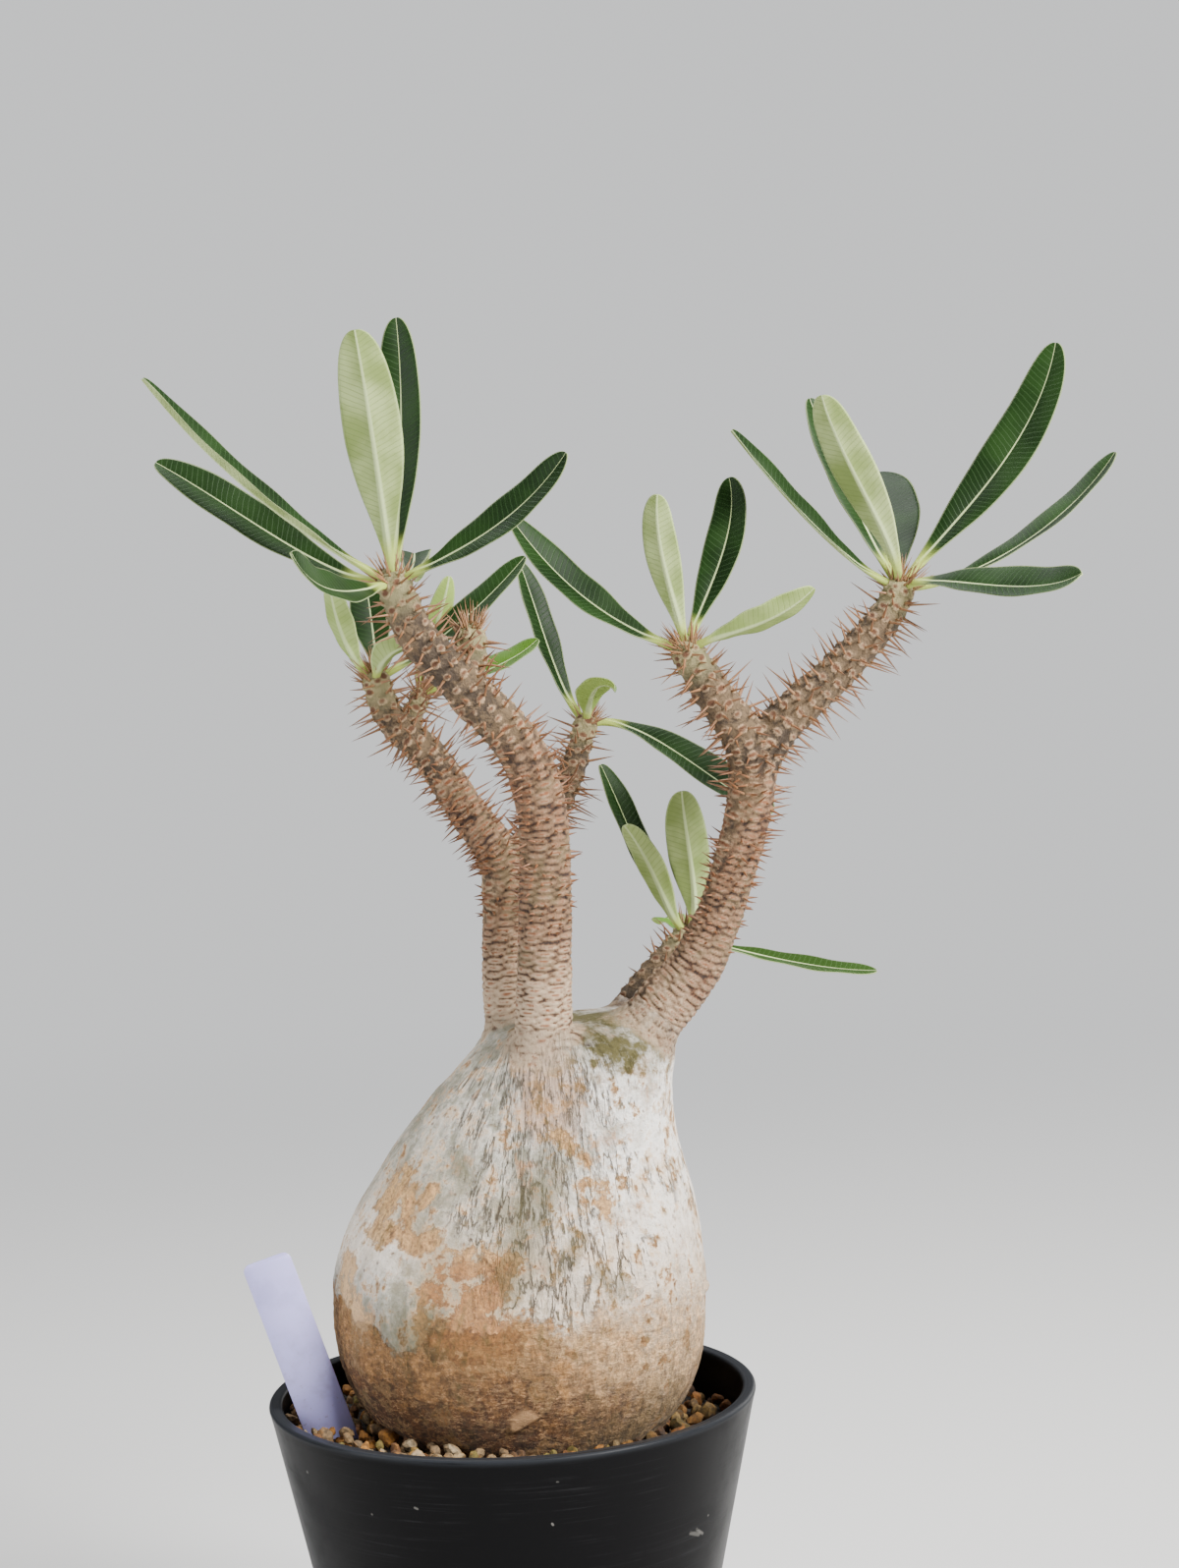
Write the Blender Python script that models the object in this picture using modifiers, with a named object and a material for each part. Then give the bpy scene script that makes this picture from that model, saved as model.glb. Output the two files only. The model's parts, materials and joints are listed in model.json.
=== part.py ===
"""A pachypodium in a round plastic pot: swollen caudex, four spiny stems, leaves, grit and a plant label.

Lengths are written in millimetres and turned into metres as each mesh is made. The origin is on the
pot's axis at its base, +Z is up, and the plant is seen from the front along +Y.
"""
import math
import random

import bmesh
import bpy
from mathutils import Matrix, Vector, noise

MM = 0.001
WELD_DISTANCE = 0.01
CURVE_SAMPLES = 400

# Gaps left between pieces that touch: where flat faces meet, and where one curved face sits in another
FIT_GAP = 0.3
SEAT_GAP = 0.4

# Pot
POT_HEIGHT = 120.0
POT_RIM_RADIUS = 75.0
POT_TAPER = 0.215
POT_WALL = 2.4
POT_LIP = 4.2
POT_LIP_DEPTH = 8.0
POT_FLOOR = 4.6
POT_FLOOR_FILLET = 2.0
POT_EDGE = 0.7
FOOT_EDGE = 1.2
POT_STEPS = 36
FOOT_RECESS = 2.2
FOOT_RING_WIDTH = 5.2
CENTRE_DISC_RADIUS = 25.0
DRAIN_HOLES = 8
DRAIN_HOLE_RADIUS = 4.0
DRAIN_CIRCLE_RADIUS = 34.5
DRAIN_SIDES = 8
FOOT_NOTCHES = 4
FOOT_NOTCH_WIDTH = 7.0
FOOT_NOTCH_DEPTH = 2.0

# Grit: its surface lies higher at the front left than at the back right
GRIT_LEVEL = 111.5
GRIT_SLOPE_X = -0.045
GRIT_SLOPE_Y = -0.035
GRIT_SIDES = 42
GRAIN_ROWS = 4
GRAIN_JITTER = 1.3
GRAIN_INSET = (0.9, 1.5)
GRAIN_HEIGHT = (1.0, 2.6)
POCKET_HEADROOM = 2.8
POCKET_DEEPER = 6.0
GRIT_BOTTOM_CHAMFER = 3.0
GRIT_SEED = 7

# Caudex sections: height, left, right, front and back of the outline
CAUDEX_SECTIONS = [
    (62, -2, 9, -5, 6),
    (75, -9, 16, -12, 13),
    (90, -20, 29, -24, 25),
    (104, -34, 43, -37, 38),
    (117, -46, 54, -46, 47),
    (131, -52, 59, -50, 50),
    (146, -53.5, 60, -51, 51),
    (161, -52.5, 60, -48, 49),
    (176, -47, 58.5, -43, 45),
    (190, -38.5, 55.5, -38, 41),
    (205, -27, 54, -33, 37),
    (218, -15, 54, -30, 34),
    (227, -6.5, 55, -28, 32),
    (232, -1, 51, -23, 28),
    (234.5, 10, 42, -14, 18),
]
CAUDEX_SIDES = 24
CAUDEX_STEP = 10.0
CAUDEX_LUMP_SIZE = 22.0
CAUDEX_LUMP_HEIGHT = 1.6
LUMPS_FULL_AT = 30.0

# Bark of the stems: tubercles in staggered rows, with a spine on some of them
STEM_SIDES = 12
TUBERCLE_PITCH = 2.8
TUBERCLE_HEIGHT = 0.45
COLLAR_LENGTH = 16.0
COLLAR_FLARE = 1.55
COLLAR_RINGS = (1.0, 0.6, 0.3, 0.0)
COLLAR_EASE = 1.6
SPINE_HALF_WIDTH = 0.5
SPINE_STEP = 2.5
GOLDEN_ANGLE = math.radians(137.5)
SPINE_SHORTEST = 2.6
SPINE_LONGEST = 8.2
SPINE_CLEARANCE = 1.4
SPINE_WORN = 0.25
SPINE_GROWTH = 1.1
SPINE_TILTS = (math.radians(14), math.radians(30))
FORK_BARE_LENGTH = 3.0
TUFT_LENGTH = 5.5
DOME_RISES = (math.radians(35), math.radians(65))

# Stems: each branch is a list of (x, y, z, radius); the first branch starts where it leaves the caudex
STEMS = {
    "stem_front_left": [
        [(14, -17, 236, 8.7), (15, -17, 255, 8.2), (16, -17.5, 278, 7.8), (16, -19, 300, 7.4),
         (10, -21, 320, 7.2), (-6, -24, 339, 6.6), (-19, -26, 355, 6.0), (-25, -27, 370, 5.2)],
        [(-6, -23, 335, 5.4), (-3.5, -18, 345, 5.2), (-3, -15, 353, 4.6)],
    ],
    "stem_back_left": [
        [(4, 10, 236, 7.9), (3.5, 11, 250, 7.4), (4, 12.5, 268, 7.1), (3, 14, 283, 6.8),
         (-6, 16, 297, 6.0), (-17, 18, 315, 5.4), (-28, 19, 326, 5.0), (-33, 19, 339, 4.2)],
        [(4, 14, 278, 5.4), (13, 21, 288, 5.0), (21, 30, 296, 4.4), (27, 38, 307, 4.1), (32, 46, 321, 3.7)],
        [(-27, 19, 322, 3.6), (-22, 23, 328, 3.4), (-19.5, 26, 333.5, 3.0)],
    ],
    "stem_right": [
        [(50, -4, 237, 9.2), (60.5, -5, 249, 8.2), (68, -6, 264, 7.2), (73.5, -7, 279, 6.8),
         (77.5, -8, 293, 6.9), (80, -8, 308, 7.2), (77, -10, 320, 6.6), (68, -13, 334, 6.0),
         (61, -16, 346, 4.8)],
        [(79, -8, 306, 6.6), (89, -7, 322, 6.5), (103, -6, 334, 6.1), (116, -4.5, 346, 5.5),
         (124, -3, 355.5, 5.0), (127, -3, 361.5, 4.6)],
    ],
    "stem_low_right": [
        [(43, 25, 233, 6.8), (51, 30, 242, 5.8), (57, 34, 248, 5.3), (61.5, 37, 253, 4.8)],
    ],
}
SPINES_START = {"stem_front_left": 20, "stem_back_left": 16, "stem_right": 22, "stem_low_right": 6}
PHASES = {"stem_front_left": 0.0, "stem_back_left": 1.1, "stem_right": 2.3, "stem_low_right": 3.6}

# Leaves of each growing tip: (heading, rise) of the petiole in degrees, tip, sag of the far third,
# width, direction that the upper side faces, and how far each half folds up from the midrib
GROWING_TIPS = {
    "leaf_front_left": ("stem_front_left", 0, [
        ((200, 30), (-94, -39, 432), (0, 0, -11), 13, (0.65, 0.0, 0.75), 28),
        ((160, 7), (-94, -12, 408), (0, 0, 0), 14.5, (0.2, -0.75, 0.6), 15),
        ((238, -4), (-52, -72, 381), (-2, -6, -12), 15, (0.1, -0.45, 0.9), 22),
        ((262, 60), (-32, -52, 443), (1, -2, 0), 17.5, (0.1, 0.94, 0.33), 12),
        ((78, 56), (-21, -10, 448), (3, 0, 0), 14, (-0.25, -0.95, 0.2), 18),
        ((332, 22), (27, -40, 406), (2, 0, -9), 14.5, (-0.35, -0.6, 0.75), 24),
        ((55, 14), (-19, 18, 369), (0, 0, 16), 11, (0.0, -0.2, 1.0), 14),
    ]),
    "leaf_back_left": ("stem_back_left", 0, [
        ((192, 46), (-45, 8, 369.5), (-2, 0, -2), 10, (0.5, 0.8, 0.25), 16),
        ((85, 50), (-35, 36, 370), (0, 0, 0), 13, (0.0, -0.95, 0.3), 14),
        ((280, 30), (-14, 3, 349), (-6, -4, 7), 13, (-0.2, 0.5, 0.8), 20),
        ((8, 28), (15, 30, 375), (-2, 0, -7), 12, (-0.5, -0.65, 0.55), 16),
    ]),
    "leaf_back_bud": ("stem_back_left", 2, [
        ((90, 62), (-9, 28, 370), (1, 0, -2), 8, (-0.2, 0.95, 0.1), 14),
        ((345, 20), (18, 34, 349), (2, 0, -4), 10, (-0.2, -0.5, 0.85), 16),
    ]),
    "leaf_back_middle": ("stem_back_left", 1, [
        ((165, 55), (13, 58, 373), (0, 0, 0), 10, (0.55, -0.8, 0.25), 16),
        ((280, 45), (40, 28, 332), (-2, 2, 13), 11, (-0.3, 0.7, 0.6), 18),
        ((5, 4), (88, 18, 293), (4, 0, -5), 15, (0.15, -0.55, 0.8), 18),
    ]),
    "leaf_right_inner": ("stem_right", 0, [
        ((178, 22), (10, -6, 388), (0, 0, -11), 15, (0.4, -0.65, 0.65), 15),
        ((250, 58), (53, -36, 393), (-4, 0, 0), 10.5, (0.15, 0.9, 0.4), 12),
        ((60, 52), (77, 2, 397), (8, 0, -1), 12.5, (-0.4, -0.9, 0.2), 16),
        ((330, 24), (98, -32, 364), (0, 0, -6), 12.5, (-0.25, 0.55, 0.8), 16),
    ]),
    "leaf_right_outer": ("stem_right", 1, [
        ((190, 28), (77, -12, 411), (0, 0, -5), 11, (0.55, -0.45, 0.7), 20),
        ((255, 58), (103, -25, 420), (-3, 0, 0), 14, (0.3, 0.85, 0.45), 12),
        ((140, 56), (103, 12, 420), (-2, 0, 0), 12, (0.4, -0.85, 0.3), 14),
        ((88, 26), (127, 60, 396), (4, 0, 6), 20, (0.0, -0.5, 0.85), 14),
        ((26, 46), (179, 12, 434), (9.5, 0, -9), 16.5, (-0.45, -0.85, 0.3), 14),
        ((354, 4), (198, 20, 400), (7, 0, -8), 11, (-0.5, -0.2, 0.85), 20),
        ((308, 16), (176, -38, 365), (3, 0, -8), 16, (0.0, -0.6, 0.8), 16),
    ]),
    "leaf_low_right": ("stem_low_right", 0, [
        ((150, 48), (36, 45, 308), (0, 0, 0), 11, (0.5, -0.7, 0.5), 18),
        ((225, 44), (42, 20, 291), (3, 0, 0), 9.5, (0.3, 0.85, 0.35), 14),
        ((290, 50), (60, 18, 301), (0, 0, 0), 13.5, (-0.1, 0.95, 0.3), 12),
        ((105, 10), (54, 62, 254), (0, 0, 5), 10, (0.0, -0.3, 1.0), 14),
        ((355, -18), (122, 45, 238), (0, 0, -3.5), 9, (0.15, 0.0, 1.0), 18),
    ]),
}
LEAF_ROWS = [0.0, 0.09, 0.21, 0.35, 0.5, 0.65, 0.78, 0.89, 0.96, 1.0]
LEAF_WIDEST = 0.6
PETIOLE_WIDTH = 2.6
LEAF_TIP_WIDTH = 2.2
MIDRIB_THICKNESS = 1.4
MARGIN_SHARE = 0.45
LEAF_WAVE = 0.6
LEAF_WAVES = 3.5
PETIOLE_REACH = 0.24
BEND_AT = 0.66
FOLD_STARTS = 0.3
LEAF_END_POWERS = (2.4, 0.45)
LEAF_CHECKS = 24
SPINE_CHECKS = 5

# Plant label
LABEL_WIDTH = 15.0
LABEL_LENGTH = 94.0
LABEL_POINT = 12.0
LABEL_THICKNESS = 0.6
LABEL_CORNER = 2.4
LABEL_CORNER_STEPS = 4
LABEL_POINT_WIDTH = 3.0
LABEL_TOP = (-73.0, -15.0, 167.8)
LABEL_FOOT_DIRECTION = (16.8, 0.0, -52.9)

COLOURS = {
    "pot": ((0.018, 0.019, 0.022), 0.38),
    "grit": ((0.34, 0.23, 0.11), 0.9),
    "caudex": ((0.50, 0.45, 0.36), 0.75),
    "stem": ((0.36, 0.27, 0.20), 0.85),
    "leaf": ((0.07, 0.16, 0.045), 0.42),
    "label": ((0.72, 0.70, 0.86), 0.4),
}


def clear_scene():
    for old in list(bpy.data.objects):
        bpy.data.objects.remove(old, do_unlink=True)


def new_collection(name):
    collection = bpy.data.collections.new(name)
    bpy.context.scene.collection.children.link(collection)
    return collection


def material(kind):
    """A Principled material for one kind of piece, made once and shared."""
    made = bpy.data.materials.get(kind)
    if made:
        return made
    colour, roughness = COLOURS[kind]
    made = bpy.data.materials.new(kind)
    made.use_nodes = True
    shader = made.node_tree.nodes["Principled BSDF"]
    shader.inputs["Base Color"].default_value = (*colour, 1.0)
    shader.inputs["Roughness"].default_value = roughness
    shader.inputs["Metallic"].default_value = 0.0
    return made


def add_object(name, mesh, kind, collection):
    piece = bpy.data.objects.new(name, mesh)
    if kind:
        mesh.materials.append(material(kind))
    collection.objects.link(piece)
    return piece


def mesh_from(build, name):
    """Turn a bmesh in millimetres into a mesh in metres, with its faces pointing out."""
    bmesh.ops.recalc_face_normals(build, faces=build.faces)
    bmesh.ops.scale(build, vec=(MM, MM, MM), verts=build.verts)
    mesh = bpy.data.meshes.new(name)
    build.to_mesh(mesh)
    build.free()
    return mesh


def evaluated_mesh(piece):
    bpy.context.view_layer.update()
    depsgraph = bpy.context.evaluated_depsgraph_get()
    return bpy.data.meshes.new_from_object(piece.evaluated_get(depsgraph), depsgraph=depsgraph)


def apply_modifiers(piece):
    """Bake the object's modifiers into its mesh."""
    baked = evaluated_mesh(piece)
    piece.modifiers.clear()
    piece.data = baked


def add_boolean(piece, operation, cutter):
    cut = piece.modifiers.new(operation.title(), "BOOLEAN")
    cut.operation = operation
    cut.solver = "EXACT"
    if isinstance(cutter, bpy.types.Collection):
        cut.operand_type = "COLLECTION"
        cut.collection = cutter
    else:
        cut.object = cutter


def mark_cutter(piece):
    piece.hide_render = True
    piece.display_type = "WIRE"


def weld(piece):
    """Merge the slivers that a Boolean leaves, and split the other faces in triangles."""
    build = bmesh.new()
    build.from_mesh(piece.data)
    bmesh.ops.remove_doubles(build, verts=build.verts, dist=WELD_DISTANCE * MM)
    bmesh.ops.dissolve_degenerate(build, edges=build.edges, dist=WELD_DISTANCE * MM)
    bmesh.ops.triangulate(build, faces=build.faces)
    build.to_mesh(piece.data)
    build.free()


def fuse_all(piece, repeats):
    """Join a collection of closed solids to a piece with one Boolean union, then remove them."""
    add_boolean(piece, "UNION", repeats)
    apply_modifiers(piece)
    weld(piece)
    for used in list(repeats.objects):
        bpy.data.objects.remove(used, do_unlink=True)
    bpy.data.collections.remove(repeats)


def smooth_shade(piece, angle=40):
    piece.data.shade_smooth()
    piece.data.set_sharp_from_angle(angle=math.radians(angle))


def place(piece, point):
    """Put the object's origin at a point, in millimetres, without moving its surface."""
    offset = Vector(point) * MM
    piece.data.transform(Matrix.Translation(-offset))
    piece.location = offset


def catmull_rom(points, share):
    """A point on the smooth curve through equally weighted points, share from 0 to 1."""
    spans = len(points) - 1
    at = min(share * spans, spans - 1e-9)
    i = int(at)
    t = at - i
    before = points[i - 1] if i > 0 else points[0] * 2 - points[1]
    after = points[i + 2] if i + 2 <= spans else points[-1] * 2 - points[-2]
    start, end = points[i], points[i + 1]
    return 0.5 * (2 * start + (end - before) * t + (2 * before - 5 * start + 4 * end - after) * t ** 2
                  + (3 * start - before - 3 * end + after) * t ** 3)


def resample(points, step):
    """Points a fixed step apart along the smooth curve through the given 4D points."""
    fine = [catmull_rom(points, i / CURVE_SAMPLES) for i in range(CURVE_SAMPLES + 1)]
    lengths = [0.0]
    for a, b in zip(fine, fine[1:]):
        lengths.append(lengths[-1] + (b - a).to_3d().length)
    count = max(2, round(lengths[-1] / step))
    result = []
    j = 0
    for i in range(count + 1):
        wanted = lengths[-1] * i / count
        while j < CURVE_SAMPLES - 1 and lengths[j + 1] < wanted:
            j += 1
        share = (wanted - lengths[j]) / (lengths[j + 1] - lengths[j])
        result.append(fine[j].lerp(fine[j + 1], min(1.0, share)))
    return result


def path_frames(points):
    """Tangent and two cross directions at each point, carried along without twist."""
    frames = []
    side = Vector((1, 0, 0))
    for i, point in enumerate(points):
        ahead = points[min(i + 1, len(points) - 1)] - points[max(i - 1, 0)]
        tangent = ahead.normalized()
        side = (side - side.project(tangent)).normalized()
        frames.append((point, tangent, side, tangent.cross(side)))
    return frames


def loft(build, rings, pole=None):
    """Join rings of points with rows of quads, and return the rows; a pole closes the end to a point."""
    loops = [[build.verts.new(p) for p in ring] for ring in rings]
    sides = len(loops[0])
    rows = []
    for lower, upper in zip(loops, loops[1:]):
        rows.append([build.faces.new((lower[k], lower[(k + 1) % sides], upper[(k + 1) % sides], upper[k]))
                     for k in range(sides)])
    build.faces.new(list(reversed(loops[0])))
    if pole is None:
        build.faces.new(loops[-1])
        return rows
    top = build.verts.new(pole)
    rows.append([build.faces.new((loops[-1][k], loops[-1][(k + 1) % sides], top)) for k in range(sides)])
    return rows


def ring_points(frame, radius, sides=STEM_SIDES, relief=0.0, offset=0):
    """A ring round a path; every second corner stands out by the relief and the others lie in."""
    point, _, side, up = frame
    ring = []
    for k in range(sides):
        angle = 2 * math.pi * k / sides
        r = radius + (relief if (k + offset) % 2 else -relief)
        ring.append(point + (side * math.cos(angle) + up * math.sin(angle)) * r)
    return ring


# Pot


def pot_radius(height):
    return POT_RIM_RADIUS - (POT_HEIGHT - height) * POT_TAPER


def pot_inner_radius(height):
    return min(pot_radius(height) - POT_WALL, POT_RIM_RADIUS - POT_LIP)


def make_pot(collection, cutters):
    """A turned shell with a thicker rounded lip, a floor with drain holes and a notched foot ring."""
    lip_inner = POT_RIM_RADIUS - POT_LIP
    lip_foot = POT_HEIGHT - POT_LIP_DEPTH
    fillet_top = POT_FLOOR + POT_FLOOR_FILLET
    foot_outer = pot_radius(FOOT_EDGE)
    foot_inner = foot_outer - FOOT_RING_WIDTH
    outline = [
        (0, POT_FLOOR), (CENTRE_DISC_RADIUS, POT_FLOOR),
        (pot_inner_radius(POT_FLOOR) - POT_FLOOR_FILLET, POT_FLOOR),
        (pot_inner_radius(fillet_top), fillet_top),
        (pot_inner_radius(lip_foot), lip_foot), (lip_inner, (lip_foot + POT_HEIGHT) / 2),
        (lip_inner, POT_HEIGHT - POT_EDGE), (lip_inner + POT_EDGE, POT_HEIGHT),
        (POT_RIM_RADIUS - 2.5 * POT_EDGE, POT_HEIGHT),
        (POT_RIM_RADIUS - POT_EDGE, POT_HEIGHT - POT_EDGE / 2),
        (pot_radius(POT_HEIGHT - 2 * POT_EDGE), POT_HEIGHT - 2 * POT_EDGE),
        (pot_radius(POT_HEIGHT / 2), POT_HEIGHT / 2), (foot_outer, FOOT_EDGE),
        (foot_outer - FOOT_EDGE, 0), (foot_inner, 0), (foot_inner - FOOT_EDGE / 2, FOOT_RECESS),
        (CENTRE_DISC_RADIUS + FOOT_EDGE / 2, FOOT_RECESS), (CENTRE_DISC_RADIUS, 0), (0, 0),
    ]
    mesh = bpy.data.meshes.new("pot")
    points = [(x * MM, 0, z * MM) for x, z in outline]
    mesh.from_pydata(points, [(i, i + 1) for i in range(len(points) - 1)], [])
    pot = add_object("pot", mesh, "pot", collection)
    turn = pot.modifiers.new("Turn", "SCREW")
    turn.axis = "Z"
    turn.steps = POT_STEPS
    turn.render_steps = POT_STEPS
    turn.use_merge_vertices = True
    turn.merge_threshold = WELD_DISTANCE * MM
    drains = new_collection("drain cutters")
    cutters.children.link(drains)
    bpy.context.scene.collection.children.unlink(drains)
    for i in range(DRAIN_HOLES):
        angle = 2 * math.pi * (i + 0.5) / DRAIN_HOLES
        build = bmesh.new()
        bmesh.ops.create_cone(build, cap_ends=True, segments=DRAIN_SIDES, radius1=DRAIN_HOLE_RADIUS,
                              radius2=DRAIN_HOLE_RADIUS, depth=POT_FLOOR * 3)
        hole = add_object(f"drain_cutter_{i + 1}", mesh_from(build, "drain"), None, drains)
        hole.location = Vector((math.cos(angle), math.sin(angle), 0)) * DRAIN_CIRCLE_RADIUS * MM
        mark_cutter(hole)
    for i in range(FOOT_NOTCHES):
        angle = 2 * math.pi * i / FOOT_NOTCHES
        build = bmesh.new()
        bmesh.ops.create_cube(build, size=1)
        notch_size = (FOOT_RING_WIDTH * 3, FOOT_NOTCH_WIDTH, FOOT_NOTCH_DEPTH * 2)
        bmesh.ops.scale(build, vec=notch_size, verts=build.verts)
        notch = add_object(f"notch_cutter_{i + 1}", mesh_from(build, "notch"), None, drains)
        notch.location = Vector((math.cos(angle), math.sin(angle), 0)) * foot_outer * MM
        notch.rotation_euler = (0, 0, angle)
        mark_cutter(notch)
    add_boolean(pot, "DIFFERENCE", drains)
    apply_modifiers(pot)
    smooth_shade(pot)


# Caudex


def caudex_outline(height):
    """Left, right, front and back of the caudex at a height, read smoothly between its sections."""
    heights = [section[0] for section in CAUDEX_SECTIONS]
    i = max(0, min(len(heights) - 2, sum(1 for h in heights if h <= height) - 1))
    t = (height - heights[i]) / (heights[i + 1] - heights[i])
    values = []
    for column in range(1, 5):
        y = [section[column] for section in CAUDEX_SECTIONS]
        span = heights[i + 1] - heights[i]
        slope_in = slope_between(heights, y, i) * span
        slope_out = slope_between(heights, y, i + 1) * span
        values.append((2 * t ** 3 - 3 * t ** 2 + 1) * y[i] + (t ** 3 - 2 * t ** 2 + t) * slope_in
                      + (3 * t ** 2 - 2 * t ** 3) * y[i + 1] + (t ** 3 - t ** 2) * slope_out)
    return values


def slope_between(heights, values, i):
    low = max(0, i - 1)
    high = min(len(heights) - 1, i + 1)
    return (values[high] - values[low]) / (heights[high] - heights[low])


def caudex_point(height, angle, grow=0.0):
    """A point of the lopsided, slightly lumpy oval section at a height."""
    left, right, front, back = caudex_outline(height)
    half_width, half_depth = (right - left) / 2, (back - front) / 2
    flat = Vector((half_width * math.cos(angle), half_depth * math.sin(angle), 0))
    point = Vector(((left + right) / 2, (front + back) / 2, height)) + flat
    lump = noise.noise(point / CAUDEX_LUMP_SIZE) * CAUDEX_LUMP_HEIGHT * min(1.0, half_width / LUMPS_FULL_AT)
    return point + flat.normalized() * (lump + grow)


def circle_angles(sides):
    return [2 * math.pi * k / sides for k in range(sides)]


def caudex_heights():
    bottom, top = CAUDEX_SECTIONS[0][0], CAUDEX_SECTIONS[-1][0]
    count = round((top - bottom) / CAUDEX_STEP)
    heights = [bottom + (top - bottom) * i / count for i in range(count)]
    return heights + [CAUDEX_SECTIONS[-2][0], top]


def make_caudex(collection):
    """The swollen base, with a short collar under each stem that ends flat where the stem begins."""
    build = bmesh.new()
    loft(build, [[caudex_point(h, a) for a in circle_angles(CAUDEX_SIDES)] for h in caudex_heights()])
    bmesh.ops.triangulate(build, faces=build.faces)
    caudex = add_object("caudex", mesh_from(build, "caudex"), "caudex", collection)
    collars = new_collection("collars")
    for name, branches in STEMS.items():
        points = [Vector(p) for p in branches[0]]
        frames = path_frames([p.to_3d() for p in resample(points, TUBERCLE_PITCH)])
        point, tangent, side, up = frames[0]
        radius = branches[0][0][3]
        rings = []
        for share in COLLAR_RINGS:
            flare = 1 + (COLLAR_FLARE - 1) * share ** COLLAR_EASE
            centre = point - tangent * (FIT_GAP + COLLAR_LENGTH * share)
            rings.append(ring_points((centre, tangent, side, up), radius * flare))
        build = bmesh.new()
        loft(build, rings)
        add_object("collar_" + name, mesh_from(build, "collar"), None, collars)
    fuse_all(caudex, collars)
    smooth_shade(caudex)


# Leaves


def leaf_half_width(t, width):
    """Half the blade's width at t along it: a narrow petiole that widens to a broad, rounded end."""
    rise = min(1.0, t / LEAF_WIDEST)
    rise = rise * rise * (3 - 2 * rise)
    full = PETIOLE_WIDTH + (width - PETIOLE_WIDTH) * rise
    if t > LEAF_WIDEST:
        past = (t - LEAF_WIDEST) / (1 - LEAF_WIDEST)
        inner, outer = LEAF_END_POWERS
        full = max(LEAF_TIP_WIDTH, width * max(0.0, 1 - past ** inner) ** outer)
    return full / 2


def leaf_curve(tip_point, tip_radius, heading, tip, sag):
    """Control points of a leaf's midrib, from the growing tip's surface to the leaf's own tip."""
    turn, rise = (math.radians(a) for a in heading)
    outward = Vector((math.cos(turn) * math.cos(rise), math.sin(turn) * math.cos(rise), math.sin(rise)))
    base = tip_point + outward * (tip_radius + SEAT_GAP)
    reach = Vector(tip) - base
    petiole_end = base + outward * reach.length * PETIOLE_REACH
    return [base, petiole_end, base + reach * BEND_AT + Vector(sag), Vector(tip)]


def bezier(points, t):
    s = 1 - t
    return points[0] * s ** 3 + points[1] * 3 * s * s * t + points[2] * 3 * s * t * t + points[3] * t ** 3


def bezier_direction(points, t):
    s = 1 - t
    return ((points[1] - points[0]) * s * s + (points[2] - points[1]) * 2 * s * t
            + (points[3] - points[2]) * t * t).normalized()


def all_leaves():
    """Name, midrib curve, width, facing and fold of every leaf."""
    for group, (stem, branch, leaves) in GROWING_TIPS.items():
        x, y, z, radius = STEMS[stem][branch][-1]
        for i, (heading, tip, sag, width, facing, fold) in enumerate(leaves):
            curve = leaf_curve(Vector((x, y, z)), radius, heading, tip, sag)
            yield f"{group}_{i + 1}", curve, width, Vector(facing), math.radians(fold)


def make_leaf(name, curve, width, facing, fold, collection):
    """A folded, slightly waved blade: an open surface with a thick midrib and thin margins."""
    build = bmesh.new()
    rows = []
    for t in LEAF_ROWS:
        centre = bezier(curve, t)
        along = bezier_direction(curve, t)
        side = along.cross(facing).normalized()
        normal = side.cross(along)
        half = leaf_half_width(t, width)
        spread = min(1.0, t / FOLD_STARTS)
        bend = fold * spread
        wave = LEAF_WAVE * spread * math.sin(2 * math.pi * LEAF_WAVES * t)
        out, lift = half * math.cos(bend), half * math.sin(bend)
        rows.append([build.verts.new(centre - side * out + normal * (lift + wave)),
                     build.verts.new(centre),
                     build.verts.new(centre + side * out + normal * (lift - wave))])
    for lower, upper in zip(rows, rows[1:]):
        for k in range(2):
            corners = (lower[k], lower[k + 1], upper[k + 1], upper[k])
            a, b = k, k + 2
            build.faces.new((corners[a], corners[a + 1], corners[b]))
            build.faces.new((corners[a], corners[b], corners[(b + 1) % 4]))
    leaf = add_object(name, mesh_from(build, name), "leaf", collection)
    thick = leaf.vertex_groups.new(name="midrib and petiole")
    thick.add([3 * i + 1 for i in range(len(LEAF_ROWS))] + [0, 2, 3, 5], 1.0, "REPLACE")
    place(leaf, curve[0])
    blade = leaf.modifiers.new("Blade", "SOLIDIFY")
    blade.thickness = MIDRIB_THICKNESS * MM
    blade.offset = 0
    blade.vertex_group = thick.name
    blade.thickness_vertex_group = MARGIN_SHARE
    leaf.data.shade_smooth()


# Stems and spines


def leaf_samples():
    """Points along every leaf with the room that a spine must leave round them."""
    samples = []
    for _, curve, width, _, _ in all_leaves():
        for i in range(LEAF_CHECKS + 1):
            t = i / LEAF_CHECKS
            samples.append((bezier(curve, t), leaf_half_width(t, width) + SPINE_CLEARANCE))
    return samples


def clear_of_leaves(start, end, samples):
    for i in range(SPINE_CHECKS + 1):
        point = start.lerp(end, i / SPINE_CHECKS)
        if any((point - centre).length < room for centre, room in samples):
            return False
    return True


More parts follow.
